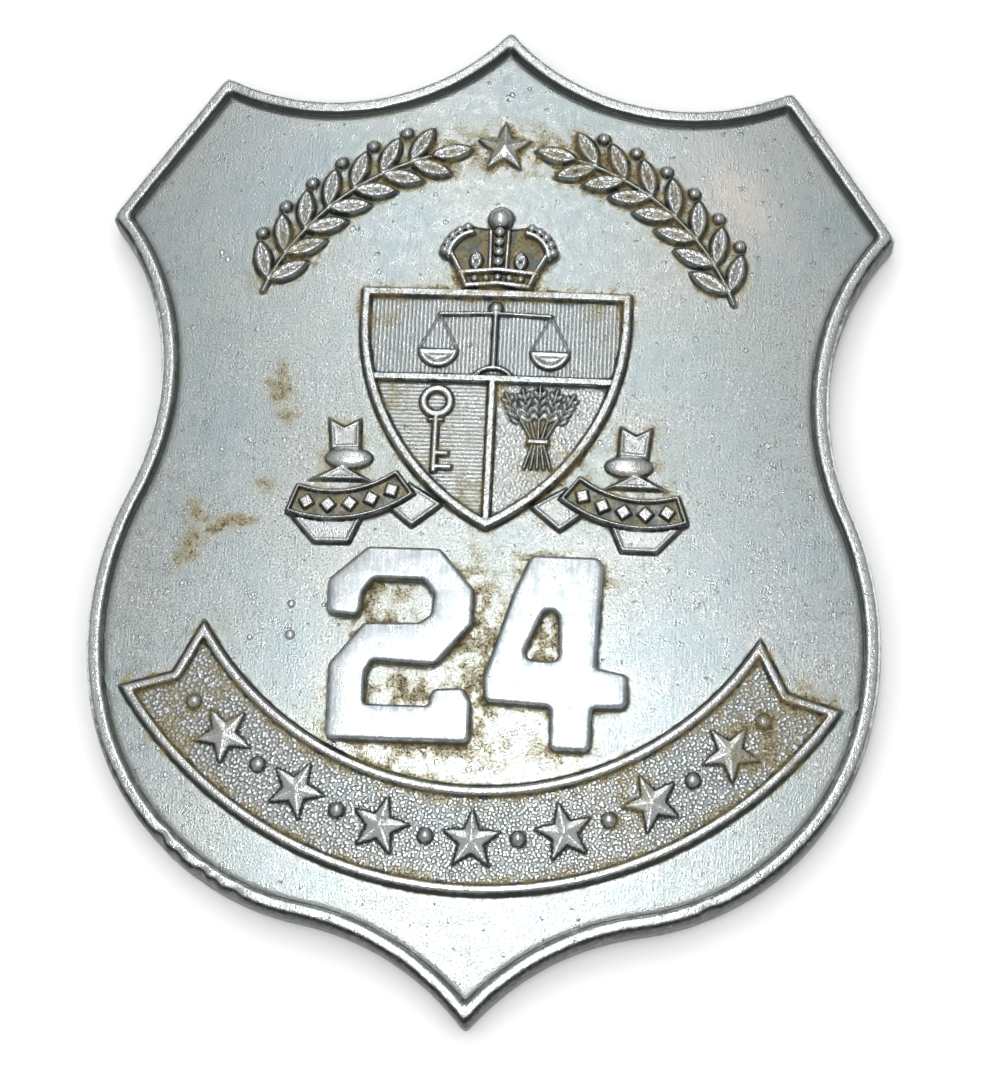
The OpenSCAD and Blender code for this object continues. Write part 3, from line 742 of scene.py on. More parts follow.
def laurel_heights(x, y, relief):
    """The right spray: a thin stem, leaves in pairs that lean away from it, a berry past each outer leaf
    and an end leaf. The left spray is its mirror image, and a star stands between them."""
    centre = np.array([0, LAUREL_Y])
    gap, lean, foot, top = 7, 38, 0.35, 0.62
    leaf_turn = math.degrees(relief.leaf_l / relief.laurel_r)
    start, end = 90 - relief.laurel_span, 90 - gap - leaf_turn
    step = (end - start) / relief.laurel_pairs
    r = np.hypot(x, y - LAUREL_Y)
    a = np.degrees(np.arctan2(y - LAUREL_Y, x))
    off = np.maximum(np.radians(np.maximum(a - end, start - a)) * r, 0)
    found = bead(np.hypot(np.abs(r - relief.laurel_r), off) - 0.17, 0.42, 0.22)
    leaves = [(end, leaf_turn / 2)]
    for i in range(relief.laurel_pairs):
        angle = start + step * (i + foot)
        leaves += [(angle, lean), (angle, -lean)]
        if i < relief.laurel_pairs - 1:
            along, out = relief.leaf_l * direction(-lean) + [0.55, -0.05]
            place = centre + relief.laurel_r * direction(angle) + along * direction(angle + 90)
            place = place - out * direction(angle)
            foot_disc = bead(to_disc(x, y, place, 0.36), 0.25, 0.2)
            found = top_of(found, foot_disc, pearl(x, y, place, 0.4, 0.1, 0.6))
    for angle, turned in leaves:
        place = centre + relief.laurel_r * direction(angle)
        found = top_of(found, leaf(x, y, place, angle + 90 + turned, relief.leaf_l, relief.leaf_w, top))
    u, v = local(x, y, centre + [0, relief.laurel_r], 0)
    return top_of(found, found[::-1], facets(to_polygon(u, v, star_points(1.9)), 0.4, 0.66, 0.7))


def arms_points(relief):
    """Outline of the small shield: a straight top, upright shoulders and two arcs that meet in a tip."""
    half = relief.arms_w / 2
    shoulder = relief.arms_top - 2
    drop = shoulder + relief.arms_drop
    r = (half**2 + drop**2) / relief.arms_w
    end = math.degrees(math.acos((r - half) / r))
    return both(np.vstack([[[half, relief.arms_top]], arc((half - r, shoulder), r, 0, -end, 24)]))


def scales_heights(x, y):
    """A pair of scales: a post on a foot, a beam, and two pans on cords."""
    top = 0.55
    found = top_of(
        stroke(x, y, [(0, -2.1), (0, 1.9)], 0.42, top),
        stroke(x, y, [(-3.6, 1.5), (0, 1.62), (3.6, 1.5)], 0.34, top),
        stroke(x, y, arc((0, -3.6), 1.5, 35, 145, 9), 0.4, top),
        pearl(x, y, (0, 2), 0.45, 0.2, 0.68),
    )
    for side in (-3.6, 3.6):
        cords = stroke(x, y, [(side - 1.25, -0.9), (side, 1.5), (side + 1.25, -0.9)], 0.18, 0.42, 0.2)
        pan = np.maximum(to_disc(x, y, (side, -0.85), 1.35), y + 0.85)
        bowl = 0.16 * np.exp(-(((pan + 0.62) / 0.2) ** 2))
        found = top_of(found, cords, bead(pan, top, 0.24) - np.where(pan < 0, bowl, 0))
    return found


def key_heights(x, y):
    """A key standing on its bit: a ring, a collar, a shaft and two wards."""
    top = 0.58
    return top_of(
        bead(np.abs(to_disc(x, y, (0, 1.7), 0.86)) - 0.29, top, 0.24),
        stroke(x, y, [(0, 0.6), (0, -2.9)], 0.5, top, 0.24),
        stroke(x, y, [(-0.42, 0.45), (0.42, 0.45)], 0.3, top),
        bead(to_box(x, y, (0, -2.9), 1.25, 0.45), top, 0.22),
        bead(to_box(x, y, (0, -2.0), 1.0, 0.45), top, 0.22),
    )


def sheaf_heights(x, y):
    """A tied sheaf: five stalks that part over a band, each with four pairs of grains and a tip."""
    found = bead(to_box(x, y, (-0.75, -1.2), 1.5, 0.45), 0.74, 0.18)
    for i in range(-2, 3):
        stalk = [(0.42 * i, -2.7), (0.16 * i, -1.0), (0.6 * i, 0.6)]
        found = top_of(found, stroke(x, y, stalk, 0.26, 0.55, 0.16))
        way = 90 - 13 * i
        for j in range(4):
            place = np.array([0.6 * i, 0.45 - 0.12 * abs(i)]) + 0.5 * j * direction(way)
            for side in (-32, 32):
                found = top_of(found, leaf(x, y, place, way + side, 0.85, 0.4, 0.62))
        found = top_of(found, stroke(x, y, [place, place + 0.8 * direction(way)], 0.3, 0.6, 0.18))
    return found


def arms_heights(x, y, relief):
    """The small shield: a raised border, bars that part its three fields, and a charge in each. The bare
    grounds, which are finely lined upright, lined level or stippled, are given with the heights."""
    gone = to_polygon(x, y, arms_points(relief))
    half, field = relief.arms_border / 2, 0.2
    chief = relief.arms_top - 6.1
    border = np.abs(gone + half) - half
    bar = np.where(y > chief, np.abs(y - chief), np.minimum(np.abs(y - chief), np.abs(x))) - 0.3
    bar = np.maximum(bar, gone + half)
    found = top_of(
        bead(gone, field, 0.2),
        bead(border - 0.05, 0.72, 0.2),
        bead(bar, 0.66, 0.18),
        scales_heights(x, y - chief - 2.9),
        key_heights(x + 3.5, y - chief + 3.3),
        sheaf_heights(x - 3.1, y - chief + 3.2),
    )
    bare = (gone + relief.arms_border < 0) & (found < field + 0.04)
    return found, {
        "upright": bare & (y > chief),
        "level": bare & (y < chief) & (x < 0),
        "stipple": 0.5 * (bare & (y < chief) & (x > 0)),
        # The bare fields are lightened with a painted highlight
        "crest": 0.4 * bare,
        "pitted": 0.9 * (np.minimum(border, bar) < 0.05),
    }


def crown_heights(x, y, relief):
    """An arched crown: a jewelled band, side arches with pearls, an upright arch and a ball. Where its
    lining shows between them, to take painted shade and some grime, is given with the heights."""
    w, h = relief.crown_w, relief.crown_h
    ax = np.abs(x)
    shape = np.vstack([
        [[0, 0], [0.3 * w, -0.15], [0.36 * w, 1.4], [0.5 * w, 2.9]],
        arc((0.2 * w, 2.6), 0.3 * w, 10, 75, 12),
        [[0.55, 4.5], [0, 4.5]],
    ])
    inside = to_polygon(x, y, both(shape))
    found = top_of(bead(inside, 0.22, 0.26), leaf(ax, y, (0.2 * w, 1.4), 90, 1.5, 1.0, 0.76))
    # Each stroke's points, width, height and softness, and each pearl's place, radius, foot and top
    strokes = (
        ([(0, 0.55), (0.28 * w, 0.35)], 0.42, 0.82, 0.17),
        ([(0, 1.5), (0.34 * w, 1.25)], 0.42, 0.82, 0.17),
        ([(0.28 * w, 0.35), (0.34 * w, 1.4), (0.45 * w, 2.9)], 0.38, 0.78, 0.17),
        (arc((0.2 * w, 2.35), 0.25 * w, 5, 78, 12), 0.44, 0.85, 0.18),
        ([(0.52, 1.5), (0.58, 4.2)], 0.34, 0.8, 0.16),
        ([(-0.45, h - 0.8), (0.45, h - 0.8)], 0.12, 0.9, 0.14),
    )
    pearls = [((0, h - 0.85), 0.8, 0.3, 1.0)]
    pearls += [((0.2 * w, 2.5) + 0.29 * w * direction(a), 0.3, 0.62, 0.95) for a in range(8, 80, 16)]
    pearls += [((0, up), 0.32, 0.66, 0.98) for up in (2.05, 2.75, 3.45, 4.15)]
    pearls += [((out, 0.98 - 0.07 * out), 0.24, 0.55, 0.82) for out in (0, 0.75, 1.5)]
    for line in strokes:
        found = top_of(found, stroke(ax, y, *line))
    for ball in pearls:
        found = top_of(found, pearl(ax, y, *ball))
    # The lining takes painted shade through its hollow mark, and some grime
    lining = (inside < 0) * np.clip((0.5 - found) / 0.15, 0, 1)
    return found, {"hollow": 0.95 * lining, "soil": 0.5 * lining}


def ribbon_heights(x, y):
    """The right ribbon: a forked end over a rolled fold, a lower fold, a tail beside the arms, and a
    curved banner with a border and a row of lozenges, whose ground, to take painted shade and some grime,
    is given with the heights."""
    folds = (
        ([(8.3, 5.1), (9.35, 4.5), (10.4, 5.1), (10.15, 2.9), (8.2, 3.0)], 0.42),
        ([(9.4, 2.0), (11.5, 0.9), (7.4, 0.9)], 0.36),
        ([(12.4, -1.6), (10.9, -3.25), (8.6, -3.25), (7.8, -1.4), (10.4, -1.0)], 0.4),
        ([(5.0, 0.9), (2.7, -0.5), (4.7, -2.1), (6.2, -0.9)], 0.38),
    )
    roll = np.hypot((x - 8.95) / 1.5, (y - 2.4) / 0.72)
    found = top_of(*(edged(to_polygon(x, y, points), top) for points, top in folds),
                   np.where(roll < 1, 0.2 + 0.4 * np.sqrt(np.maximum(1 - roll**2, 0)), FAR),
                   bead(0.72 * (roll - 1), 0.22, 0.2))
    centre, middle, half, aim = np.array([9.9, 6.85]), 7.625, 1.025, -99
    r = np.hypot(x - centre[0], y - centre[1])
    a = np.degrees(np.arctan2(y - centre[1], x - centre[0]))
    gone = np.maximum(np.abs(r - middle) - half, np.radians(np.abs(a - aim) - 29) * r)
    banner = top_of(bead(gone, 0.3, 0.24), bead(np.abs(gone + 0.16) - 0.16, 0.74, 0.2))
    found = np.where(gone < 0.05, banner, top_of(found, banner))
    for i in range(-2, 3):
        angle = aim + 10.5 * i
        u, v = local(x, y, centre + middle * direction(angle), angle)
        found = top_of(found, bead((np.abs(u) + np.abs(v) - 0.62) / math.sqrt(2), 0.72, 0.2))
    # The banner's ground takes painted shade through its hollow mark, and some grime
    ground = (gone < -0.2) * np.clip((0.5 - found) / 0.15, 0, 1)
    return found, {"hollow": 0.85 * ground, "soil": 0.35 * ground}


def scroll_points(relief):
    """Outline of the scroll: two arcs round its centre and a fishtail at each end."""
    middle, half = (relief.scroll_r0 + relief.scroll_r1) / 2, relief.scroll_border / 2
    centre = np.array([0, relief.scroll_y])
    upper, lower, notch = 59.6, 57.4, 54.8
    return np.vstack([
        arc(centre, relief.scroll_r1 + half, -90 - lower, -90 + lower, 60),
        [centre + middle * direction(-90 + notch)],
        arc(centre, relief.scroll_r0 - half, -90 + upper, -90 - upper, 60),
        [centre + middle * direction(-90 - notch)],
    ])


def scroll_heights(x, y, relief):
    """The scroll: a low field in a raised border, with stars and pellets along its middle. Its stippled
    ground is given with the heights."""
    gone = to_polygon(x, y, scroll_points(relief))
    half = relief.scroll_border / 2
    found = top_of(np.where(gone < -0.3, 0.12, FAR), bead(np.abs(gone + half) - half, 0.55, 0.3))
    middle, reach, last = (relief.scroll_r0 + relief.scroll_r1) / 2, 42, relief.scroll_stars - 1
    # Stars stand at the even places and pellets between them and past both ends
    for i in range(-1, 2 * last + 2):
        angle = reach * (i / last - 1)
        place = np.array([0, relief.scroll_y]) + middle * direction(angle - 90)
        near = np.hypot(x - place[0], y - place[1]) < 2.6
        u, v = local(x[near], y[near], place, angle)
        if i % 2:
            raised = top_of(pearl(u, v, (0, 0), 0.48, 0.15, 0.62), bead(np.hypot(u, v) - 0.42, 0.3, 0.2))
        else:
            raised = facets(to_polygon(u, v, star_points(relief.star_r)), 0.44, 0.68, 0.75)
        found[near] = top_of(found[near], raised)
    return found, {"stipple": np.clip(-gone - 0.55, 0, 0.15) / 0.15 * (found < 0.14)}


# The numerals


TWO = ((0.3, 0), (9.4, 0), (9.4, 2.6), (8.9, 3.5), (6.9, 3.35), (6.65, 2.3), (2.7, 2.3), (2.7, 4.3),
       (3.1, 5), (7.05, 4.85), (9.3, 7.5), (9.3, 9.7), (7, 12.35), (2.4, 12.35), (0, 10.2), (0, 8),
       (2.1, 7.8), (2.3, 9.4), (2.9, 10.25), (6, 10.25), (6.7, 9.4), (6.6, 8.1), (5.9, 7.55),
       (2.4, 7.45), (0.3, 4.8))
FOUR = ((2.7, 12.35), (7, 12.35), (7.35, 11.7), (7.1, 5.3), (9.1, 4.95), (9.1, 2.85), (6.95, 2.7),
        (6.9, 0), (4.3, 0), (4.25, 2.7), (0.1, 2.9), (0, 4.4), (1.65, 9.8))
FOUR_COUNTER = ((4.45, 10.5), (4.7, 5.6), (2.4, 5.7))
FULL_HEIGHT = 12.35
# Each numeral's name and node, its outline and its holes, its place, and its posts from there
NUMERALS = (
    ("two", "numeral_left", (TWO,), (-9.75, -15.9), ((1.8, 1.15), (7.8, 8.6))),
    ("four", "numeral_right", (FOUR, FOUR_COUNTER), (0.3, -16.15), ((5.6, 1.6), (5.8, 9.6))),
)


def rounded(points, radius, hollow_radius=0.2, spacing=0.12):
    """A closed outline with circular corners, resampled in even steps. A corner's arc is a rational
    parabola between its two tangent points, weighted by the cosine of half its turn. Hollow corners are
    tighter."""
    p = np.asarray(points, float)
    before, after = np.roll(p, 1, 0) - p, np.roll(p, -1, 0) - p
    len_b, len_a = np.linalg.norm(before, axis=1), np.linalg.norm(after, axis=1)
    before, after = before / len_b[:, None], after / len_a[:, None]
    half = np.arccos(np.clip((before * after).sum(1), -1, 1)) / 2
    bend = np.where(-crossed(before, after) * np.sign(area(p)) > 0, radius, hollow_radius)
    reach = np.minimum(bend / np.tan(half), 0.45 * np.minimum(len_a, len_b))[:, None]
    start, end = p + before * reach, p + after * reach
    t = np.linspace(0, 1, 9)[None, :, None]
    shares = (1 - t) ** 2, 2 * t * (1 - t) * np.sin(half)[:, None, None], t * t
    curve = sum(part * at[:, None] for part, at in zip(shares, (start, p, end)))
    line = (curve / sum(shares)).reshape(-1, 2)
    line = np.vstack([line, line[:1]])
    far = np.concatenate([[0], np.cumsum(np.linalg.norm(np.diff(line, axis=0), axis=1))])
    at = np.linspace(0, far[-1], int(far[-1] / spacing), endpoint=False)
    return np.column_stack([np.interp(at, far, line[:, k]) for k in (0, 1)])


def area(loop):
    """Signed area of a closed loop, positive anticlockwise."""
    return 0.5 * crossed(loop, np.roll(loop, -1, 0)).sum()


def cap(rims):
    """Triangles between closed loops, the outer one first, by their place in the joined loops and then in
    the inner points that keep them short, and those inner points."""
    rim = np.vstack(rims)
    low, high = rim.min(0), rim.max(0)
    x, y = grid(low[0], high[0], low[1], high[1], 0.6)
    inside = to_pierced(x, y, *rims) < -0.3
    inner = np.column_stack([x[inside], y[inside]])
    edges, start = [], 0
    for loop in rims:
        edges += [(start + k, start + (k + 1) % len(loop)) for k in range(len(loop))]
        start += len(loop)
    flat = np.vstack([rim, inner])
    _, _, faces, origin, _, _ = delaunay_2d_cdt([Vector(p) for p in flat.tolist()], edges, [], 1, 1e-6)
    if not all(origin):
        raise RuntimeError("a numeral's outline crosses itself")
    tris = np.array([o[0] for o in origin])[np.array(faces)]
    tris = tris[to_pierced(*flat[tris].mean(1).T, *rims) < 0]
    a, b, c = (flat[tris[:, k]] for k in range(3))
    turned = crossed(b - a, c - a) < 0
    tris[turned] = tris[turned][:, ::-1]
    return tris, inner


def numeral_object(name, outlines, place, posts, sizes):
    """A numeral: rings of its outlines from its underside up its wall and over its rounded edge, closed
    above and below by the same triangles, and its posts, turned and spread behind the plate."""
    dome, scale, gap = Dome(), sizes.numeral_h / FULL_HEIGHT, sizes.gap
    e, top = sizes.numeral_edge, gap + sizes.numeral_t
    bend = np.radians(np.linspace(0, 90, 8))
    ring = [(0.08, gap), (0.0, gap + 0.08), (0.0, gap + 0.35)]
    ring += list(zip(e * (1 - np.cos(bend)), top - e * (1 - np.sin(bend))))
    ring.append((e + 0.06, top + 0.006))
    points, quads, steep, loops, indices, count = [], [], [], [], [], 0
    for outline in outlines:
        loop = rounded(np.array(outline) * scale + place, sizes.corner_r)
        # The outer loop runs clockwise and holes run the other way
        loop = loop if (area(loop) < 0) == (not loops) else loop[::-1]
        for k, (d, rise) in enumerate(ring):
            flat = loop - d * edge_normals(loop)
            points.append(np.column_stack([flat, dome.face(*flat.T, rise)]))
            # The wall and the lower part of the rounded edge take painted shade
            steep.append(np.full(len(loop), min(1.0, max(0.0, 1 - (k - 3) / 5))))
        loops.append(loop)
        indices.append(count + np.arange(len(loop) * len(ring)).reshape(len(ring), -1))
        quads.append(sheet(closed(indices[-1])).reshape(-1, 4))
        count += indices[-1].size
    tris, extra = cap([np.vstack(points)[index[-1], :2] for index in indices])
    more = len(extra)
    points += [np.column_stack([extra, dome.face(*extra.T, rise)]) for rise in (top + 0.012, gap)]
    upper = np.concatenate([*(index[-1] for index in indices), count + np.arange(more)])
    lower = np.concatenate([*(index[0] for index in indices), count + more + np.arange(more)])
    skins = [(np.vstack(points), np.vstack(quads), np.vstack([upper[tris], lower[tris][:, ::-1]]))]
    for post in place + posts:
        z_in, z_back = float(dome.face(*post, gap + 0.3)), float(dome.back(*post, gap))
        r, wide = sizes.post_d / 2, sizes.post_d / 2 + 0.45
        profile = [(0.3, z_back - 0.4), (wide - 0.2, z_back - 0.38), (wide, z_back - 0.2),
                   (wide - 0.04, z_back), (r, z_back), (r, z_in)]
        skins.append(shelled(turned_rows(profile, post)))
    points, quads, tris = gathered(skins)
    steep = np.concatenate([*steep, np.zeros(more), np.ones(more)])
    steep = np.concatenate([steep, np.full(len(points) - len(steep), 0.5)])
    # Painted shade over the numeral's upper part, and over its wall, rounded edge and the top's border
    x, y, _ = points.T
    cloudy = np.clip((y - place[1] - 3) / 5, 0, 1)
    far = np.minimum.reduce([np.abs(to_polygon(*extra.T, loop)) for loop in loops])
    edges = 1.3 * np.concatenate([np.ones(count), np.clip(1.6 - far / 0.7, 0, 1)])
    cloudy[:len(edges)] = np.maximum(cloudy[:len(edges)], edges)
    marks = {"slope": steep, "soil": soil(x, y) * (0.1 + 0.6 * steep), "cloudy": cloudy}
    return put_mesh(name, points, quads, tris, marks)


# Materials


class Value:
    """An output of a shader node. A sum on it is written as on a number and makes a node."""

    def __init__(self, socket):
        self.socket = socket
        self.tree = socket.id_data

    def sum(self, operation, a, b=0.0):
        """The result of a sum on one or two values."""
        return node(self.tree, "ShaderNodeMath", {0: a, 1: b}, operation=operation)

    def __add__(self, other):
        return self.sum("ADD", self, other)

    def __mul__(self, other):
        return self.sum("MULTIPLY", self, other)

    def __sub__(self, other):
        return self.sum("SUBTRACT", self, other)

    def __rsub__(self, other):
        return self.sum("SUBTRACT", other, self)


def node(tree, kind, inputs=None, output=0, **values):
    """An output of a new shader node with its values set and its inputs linked or given."""
    made = tree.nodes.new(kind)
    for key, value in values.items():
        setattr(made, key, value)
    for key, value in (inputs or {}).items():
        if isinstance(value, Value):
            tree.links.new(value.socket, made.inputs[key])
        else:
            made.inputs[key].default_value = value
    return Value(made.outputs[output])


def held(value):
    """The result of a sum, held between 0 and 1."""
    value.socket.node.use_clamp = True
    return value


def ramp(value, low, high, start=0.0, end=1.0):
    """A value taken from one range to another in a smooth step, and held at its ends."""
    inputs = {"Value": value, "From Min": low, "From Max": high, "To Min": start, "To Max": end}
    return node(value.tree, "ShaderNodeMapRange", inputs, "Result", interpolation_type="SMOOTHSTEP")


def mixed(part, *pair):
    """Two colours mixed."""
    a, b = (one if isinstance(one, Value) else (*one, 1) for one in pair)
    return node(part.tree, "ShaderNodeMix", {0: part, 6: a, 7: b}, 2, data_type="RGBA")


def noise(place, scale, detail=2.0, rough=0.5, flat=False):
    """A soft random pattern, its scale in features to the millimetre, in space or seen from above."""
    inputs = {"Vector": place, "Scale": scale, "Detail": detail, "Roughness": rough}
    return node(place.tree, "ShaderNodeTexNoise", inputs, "Fac", noise_dimensions="2D" if flat else "3D")


def from_cell(place, scale):
    """Distance from the nearest of scattered points, seen from above."""
    inputs = {"Vector": place, "Scale": scale}
    return node(place.tree, "ShaderNodeTexVoronoi", inputs, "Distance", voronoi_dimensions="2D")


def mark(tree, name):
    """A piece's own point attribute."""
    return node(tree, "ShaderNodeAttribute", output="Fac", attribute_name=name)


def part_of(place, axis):
    """One coordinate of a place."""
    return node(place.tree, "ShaderNodeSeparateXYZ", {0: place}, axis)


def tinged(base, *shares):
    """A colour with its parts multiplied by three shares, or all by one."""
    return tuple(np.array(base) * shares)


def engraved(per_mm, sway):
    """Fine engraved lines where a piece is marked for them: 1 along their grooves, slightly unsteady."""
    found = []
    for axis, name in ((0, "upright"), (1, "level")):
        turned = part_of(per_mm, axis) * (2 * math.pi / LINE_PITCH) + sway * 3.0
        found.append(ramp(turned.sum("SINE", turned), -0.3, 0.9) * mark(per_mm.tree, name))
    return held(found[0] + found[1])


def metal(name, base, finish, grained=1.0):
    """Plated metal: a clouded satin colour with fine upright brushing, grain and scattered flecks painted
    white as glints, pale round the relief, lighter on its rubbed crests with a painted highlight, darkened
    by tarnish and painted shade on steep slopes and in hollows, and with speckled grime where dirt
    collects."""
    material = bpy.data.materials.new(name)
    material.use_nodes = True
    tree = material.node_tree
    place = node(tree, "ShaderNodeTexCoord", output="Object")
    per_mm = node(tree, "ShaderNodeMapping", {"Vector": place, "Scale": (1 / MM,) * 3})
    strokes = node(tree, "ShaderNodeMapping", {"Vector": place, "Scale": (7 / MM, 0.35 / MM, 7 / MM)})
    slope, crest, hollow, halo, dirt = (
        mark(tree, key) for key in ("slope", "crest", "hollow", "halo", "soil"))
    stipple, pitted, shade, cloudy, warm = (
        mark(tree, key) for key in ("stipple", "pitted", "shade", "cloudy", "flush"))

    # Patterns
    cloud = noise(per_mm, 0.12, 2, 0.55, True)
    bloom = noise(per_mm, 0.3, 2, 0.6, True)
    patches = ramp(noise(per_mm, 0.9, 2, 0.6, True), 0.36, 0.62, 0.2, 1.3)
    mottle = noise(per_mm, 1.3, 3, 0.65)
    pitting = noise(per_mm, 3.2, 2, 0.5)
    specks = ramp(noise(per_mm, 6.0, 3, 0.85, True), 0.3, 0.7, 0, 0.6)
    grain = noise(per_mm, 8, 1, 0.7, True)
    brush = noise(strokes, 1.0, 2, 0.6)
    fleck = ramp(held(from_cell(per_mm, 0.62) + mottle * 0.8), 0.37, 0.43, 1, 0)
    grit = ramp(from_cell(per_mm, 2.3), 0.08, 0.2, 1, 0) * ramp(bloom, 0.42, 0.6)
    dot = ramp(from_cell(per_mm, 3.6), 0.22, 0.58, 1, 0)
    lines = engraved(per_mm, pitting)

    # How far each change goes
    # Grain and the painted glints of the flecks are strongest towards the bottom, where the face is most
    # brightly lit
    speckled = ramp(part_of(per_mm, 1), 4, 22, 1, 0.35)
    speckled = speckled * ramp(cloud, 0.4, 0.58, 0.45 * grained, 0.8 * grained)
    # Where tarnish and painted shade darken the metal: steep slopes, hollows and the pits of pitted metal,
    # with random mottling
    edges = held(held(slope + hollow * 0.9) + pitted * ramp(pitting, 0.34, 0.5, 1, 0) * 0.4)
    darkened = ramp(held(edges + ramp(mottle, 0.3, 0.7, -0.2, 0.2)), 0.25, 0.9, 0, finish.tarnish_and_shade_amount)
    caked = dirt * finish.grime_amount * (held(halo + hollow) + 0.8) * patches
    film = ramp(held(specks + caked), 0.5, 0.9)
    dark_specks = ramp(held(specks + caked * ramp(pitting, 0.35, 0.62, 0.2, 1)), 0.68, 0.88)

    # The colours that go over one another, each with its share
    layers = (
        (ramp(bloom, 0.45, 0.7, 0, 0.7 * grained - 0.2), tinged(base, 1.01, 0.965, 1.01)),
        (ramp(brush, 0.25, 0.8, 0, 0.2), (0.92, 0.94, 0.95)),
        # A painted warm reflection of a lamp, where a piece is marked for it
        (warm * ramp(mottle, 0.35, 0.65, 0.5, 1), finish.warm_reflection_colour),
        (dirt * 0.4, tinged(base, 0.95, 0.85, 0.66)),
        (ramp(grain, 0.3, 0.5, 1, 0) * speckled, tinged(base, 0.42)),
        # White grit and flecks: painted glints
        (held(grit + fleck) * (speckled * 1.4), (1, 1, 1)),
        # Painted shade, in patches, over the numerals' upper parts and edges
        (cloudy * ramp(held(brush * 0.6 + mottle), 0.62, 0.98) * 0.65, (0.48, 0.55, 0.58)),
        # Painted highlights on the stipple's raised dots
        (dot * (stipple * 0.85), finish.crest_colour),
        (halo * 0.45, finish.halo_colour),
        # Crests rubbed bright and lightened with a painted highlight
        (crest * (0.88 - pitted * ramp(pitting, 0.36, 0.6, 0.6, 0)), finish.crest_colour),
        # Tarnish and painted shade on steep slopes, walls and in hollows
        (darkened, finish.tarnish_and_shade_colour),
        # Painted shade in the stipple's gaps and the engraved grooves
        (held((1.0 - dot) * (stipple * 0.5) + lines * 0.5), finish.tarnish_and_shade_colour),
        (shade * ramp(pitting, 0.42, 0.62, 1, 0.4), tinged(finish.tarnish_and_shade_colour, 0.3)),
        (ramp(caked, 0.06, 0.4, 0, 0.5), tinged(base, 0.62, 0.5, 0.27)),
        (film * 0.68, finish.grime_colour),
        (dark_specks * 0.8, tinged(finish.grime_colour, 0.25)),
    )
    coloured = mixed(ramp(cloud, 0.35, 0.65), tinged(base, 0.85, 0.92, 0.97), base)
    for part, over in layers:
        coloured = mixed(part, coloured, over)

    rough = ramp(mottle, 0.3, 0.7, finish.roughness - 0.05, finish.roughness + 0.07) - crest * 0.06
    # Each bump's height, strength and depth in millimetres
    bumps = ((grain, 0.7 * grained, 0.026), (brush, 0.5, 0.014), (fleck, 0.9 * grained, 0.05),
             (pitting * pitted, 0.9, 0.05), (dot * stipple, 0.9, 0.045), (1.0 - lines, 0.9, 0.025))
    normal = {}
    for height, strength, deep in bumps:
        inputs = {"Height": height, "Strength": strength, "Distance": deep * MM, **normal}
        normal = {"Normal": node(tree, "ShaderNodeBump", inputs)}
    surface = {
        "Base Color": coloured,
        "Metallic": held(1.0 - held(film + dark_specks) * 0.7),
        "Roughness": held(rough + held(darkened * 0.1 + film * 0.35)),
        **normal,
    }
    for key, value in surface.items():
        tree.links.new(value.socket, tree.nodes["Principled BSDF"].inputs[key])
    return material


def finished(piece, material, slot, *nodes):
    """Gives a piece its material and body, and hides the solids that it stands for. The slot is not used.
    """
    piece.data.materials.append(material)
    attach(piece, BODY)
    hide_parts(*nodes)


def cast(piece):
    """Finishes a piece that is cast in one with the plate, in the metal that all of these share."""
    finish, name = settings("badge_finish"), "cast_silver"
    material = bpy.data.materials.get(name) or metal(name, finish.plate_colour, finish)
    finished(piece, material, PLATE_SLOT, "shield_plate")


# Operators


class BADGE_OT_plate(bpy.types.Operator):
    """Build the plate with its rim"""

    bl_idname = "badge.plate"
    bl_label = "Plate"

    def execute(self, context):
        rows, marks = plate_rows(settings("badge_outline"))
        points, quads, tris = shelled(rows)
        flat = np.vstack([marks.reshape(-1, len(PLATE_MARKS)), np.zeros((2, len(PLATE_MARKS)))])
        found = dict(zip(PLATE_MARKS, flat.T))
        x, y, z = points.T
        found["soil"] = soil(x, y)
        found["flush"] = flush(x, y) * (z > PLATE_HIGH.z / MM / 2)
        cast(put_mesh("plate", points, quads, tris, found))
        return {"FINISHED"}


class BADGE_OT_studs(bpy.types.Operator):
    """Build the studs that hold the pin's strip to the plate's back"""

    bl_idname = "badge.studs"
    bl_label = "Studs"

    def execute(self, context):
        dome, skins = Dome(), []
        for side in (-STUD_X, STUD_X):
            root = float(dome.back(side, STRIP_Y)) + 0.3
            under = float(dome.back(side, STRIP_Y, STRIP_T + 2 * STRIP_GAP))
            profile = [(0.5, under - 0.35), (1.1, under - 0.33), (1.25, under - 0.18), (1.22, under),
                       (0.8, under), (0.8, root)]
            skins.append(shelled(turned_rows(profile, (side, STRIP_Y))))
        cast(put_mesh("studs", *gathered(skins)))
        return {"FINISHED"}


class BADGE_OT_pips(bpy.types.Operator):
    """Build the small casting pips on the face"""

    bl_idname = "badge.pips"
    bl_label = "Pips"

    def execute(self, context):
        dome, skins = Dome(), []
        for place, radius in PIPS:
            face = float(dome.face(*place))
            bend = np.radians(np.linspace(10, 90, 5))[::-1]
            over = zip(radius * np.sin(bend), face + 0.5 * radius * np.cos(bend))
            skins.append(shelled(turned_rows([(radius, face - 0.05), *over], place, 16)))
        points, quads, tris = gathered(skins)
        # The pips' tops take a painted highlight
        cast(put_mesh("pips", points, quads, tris, {"crest": np.full(len(points), 0.8)}))
        return {"FINISHED"}


class BADGE_OT_laurel(bpy.types.Operator):
    """Build the laurel sprays and their star"""

    bl_idname = "badge.laurel"
    bl_label = "Laurel"

    def execute(self, context):
        relief = settings("badge_relief")
        reach, r = relief.laurel_span + 4, relief.laurel_r
        x, y = ring_grid("laurel", LAUREL_Y, r - 3, r + 3.6, 90 - reach, 90 + reach)
        cast_relief("laurel", x, y, laurel_heights(x, y, relief))
        return {"FINISHED"}


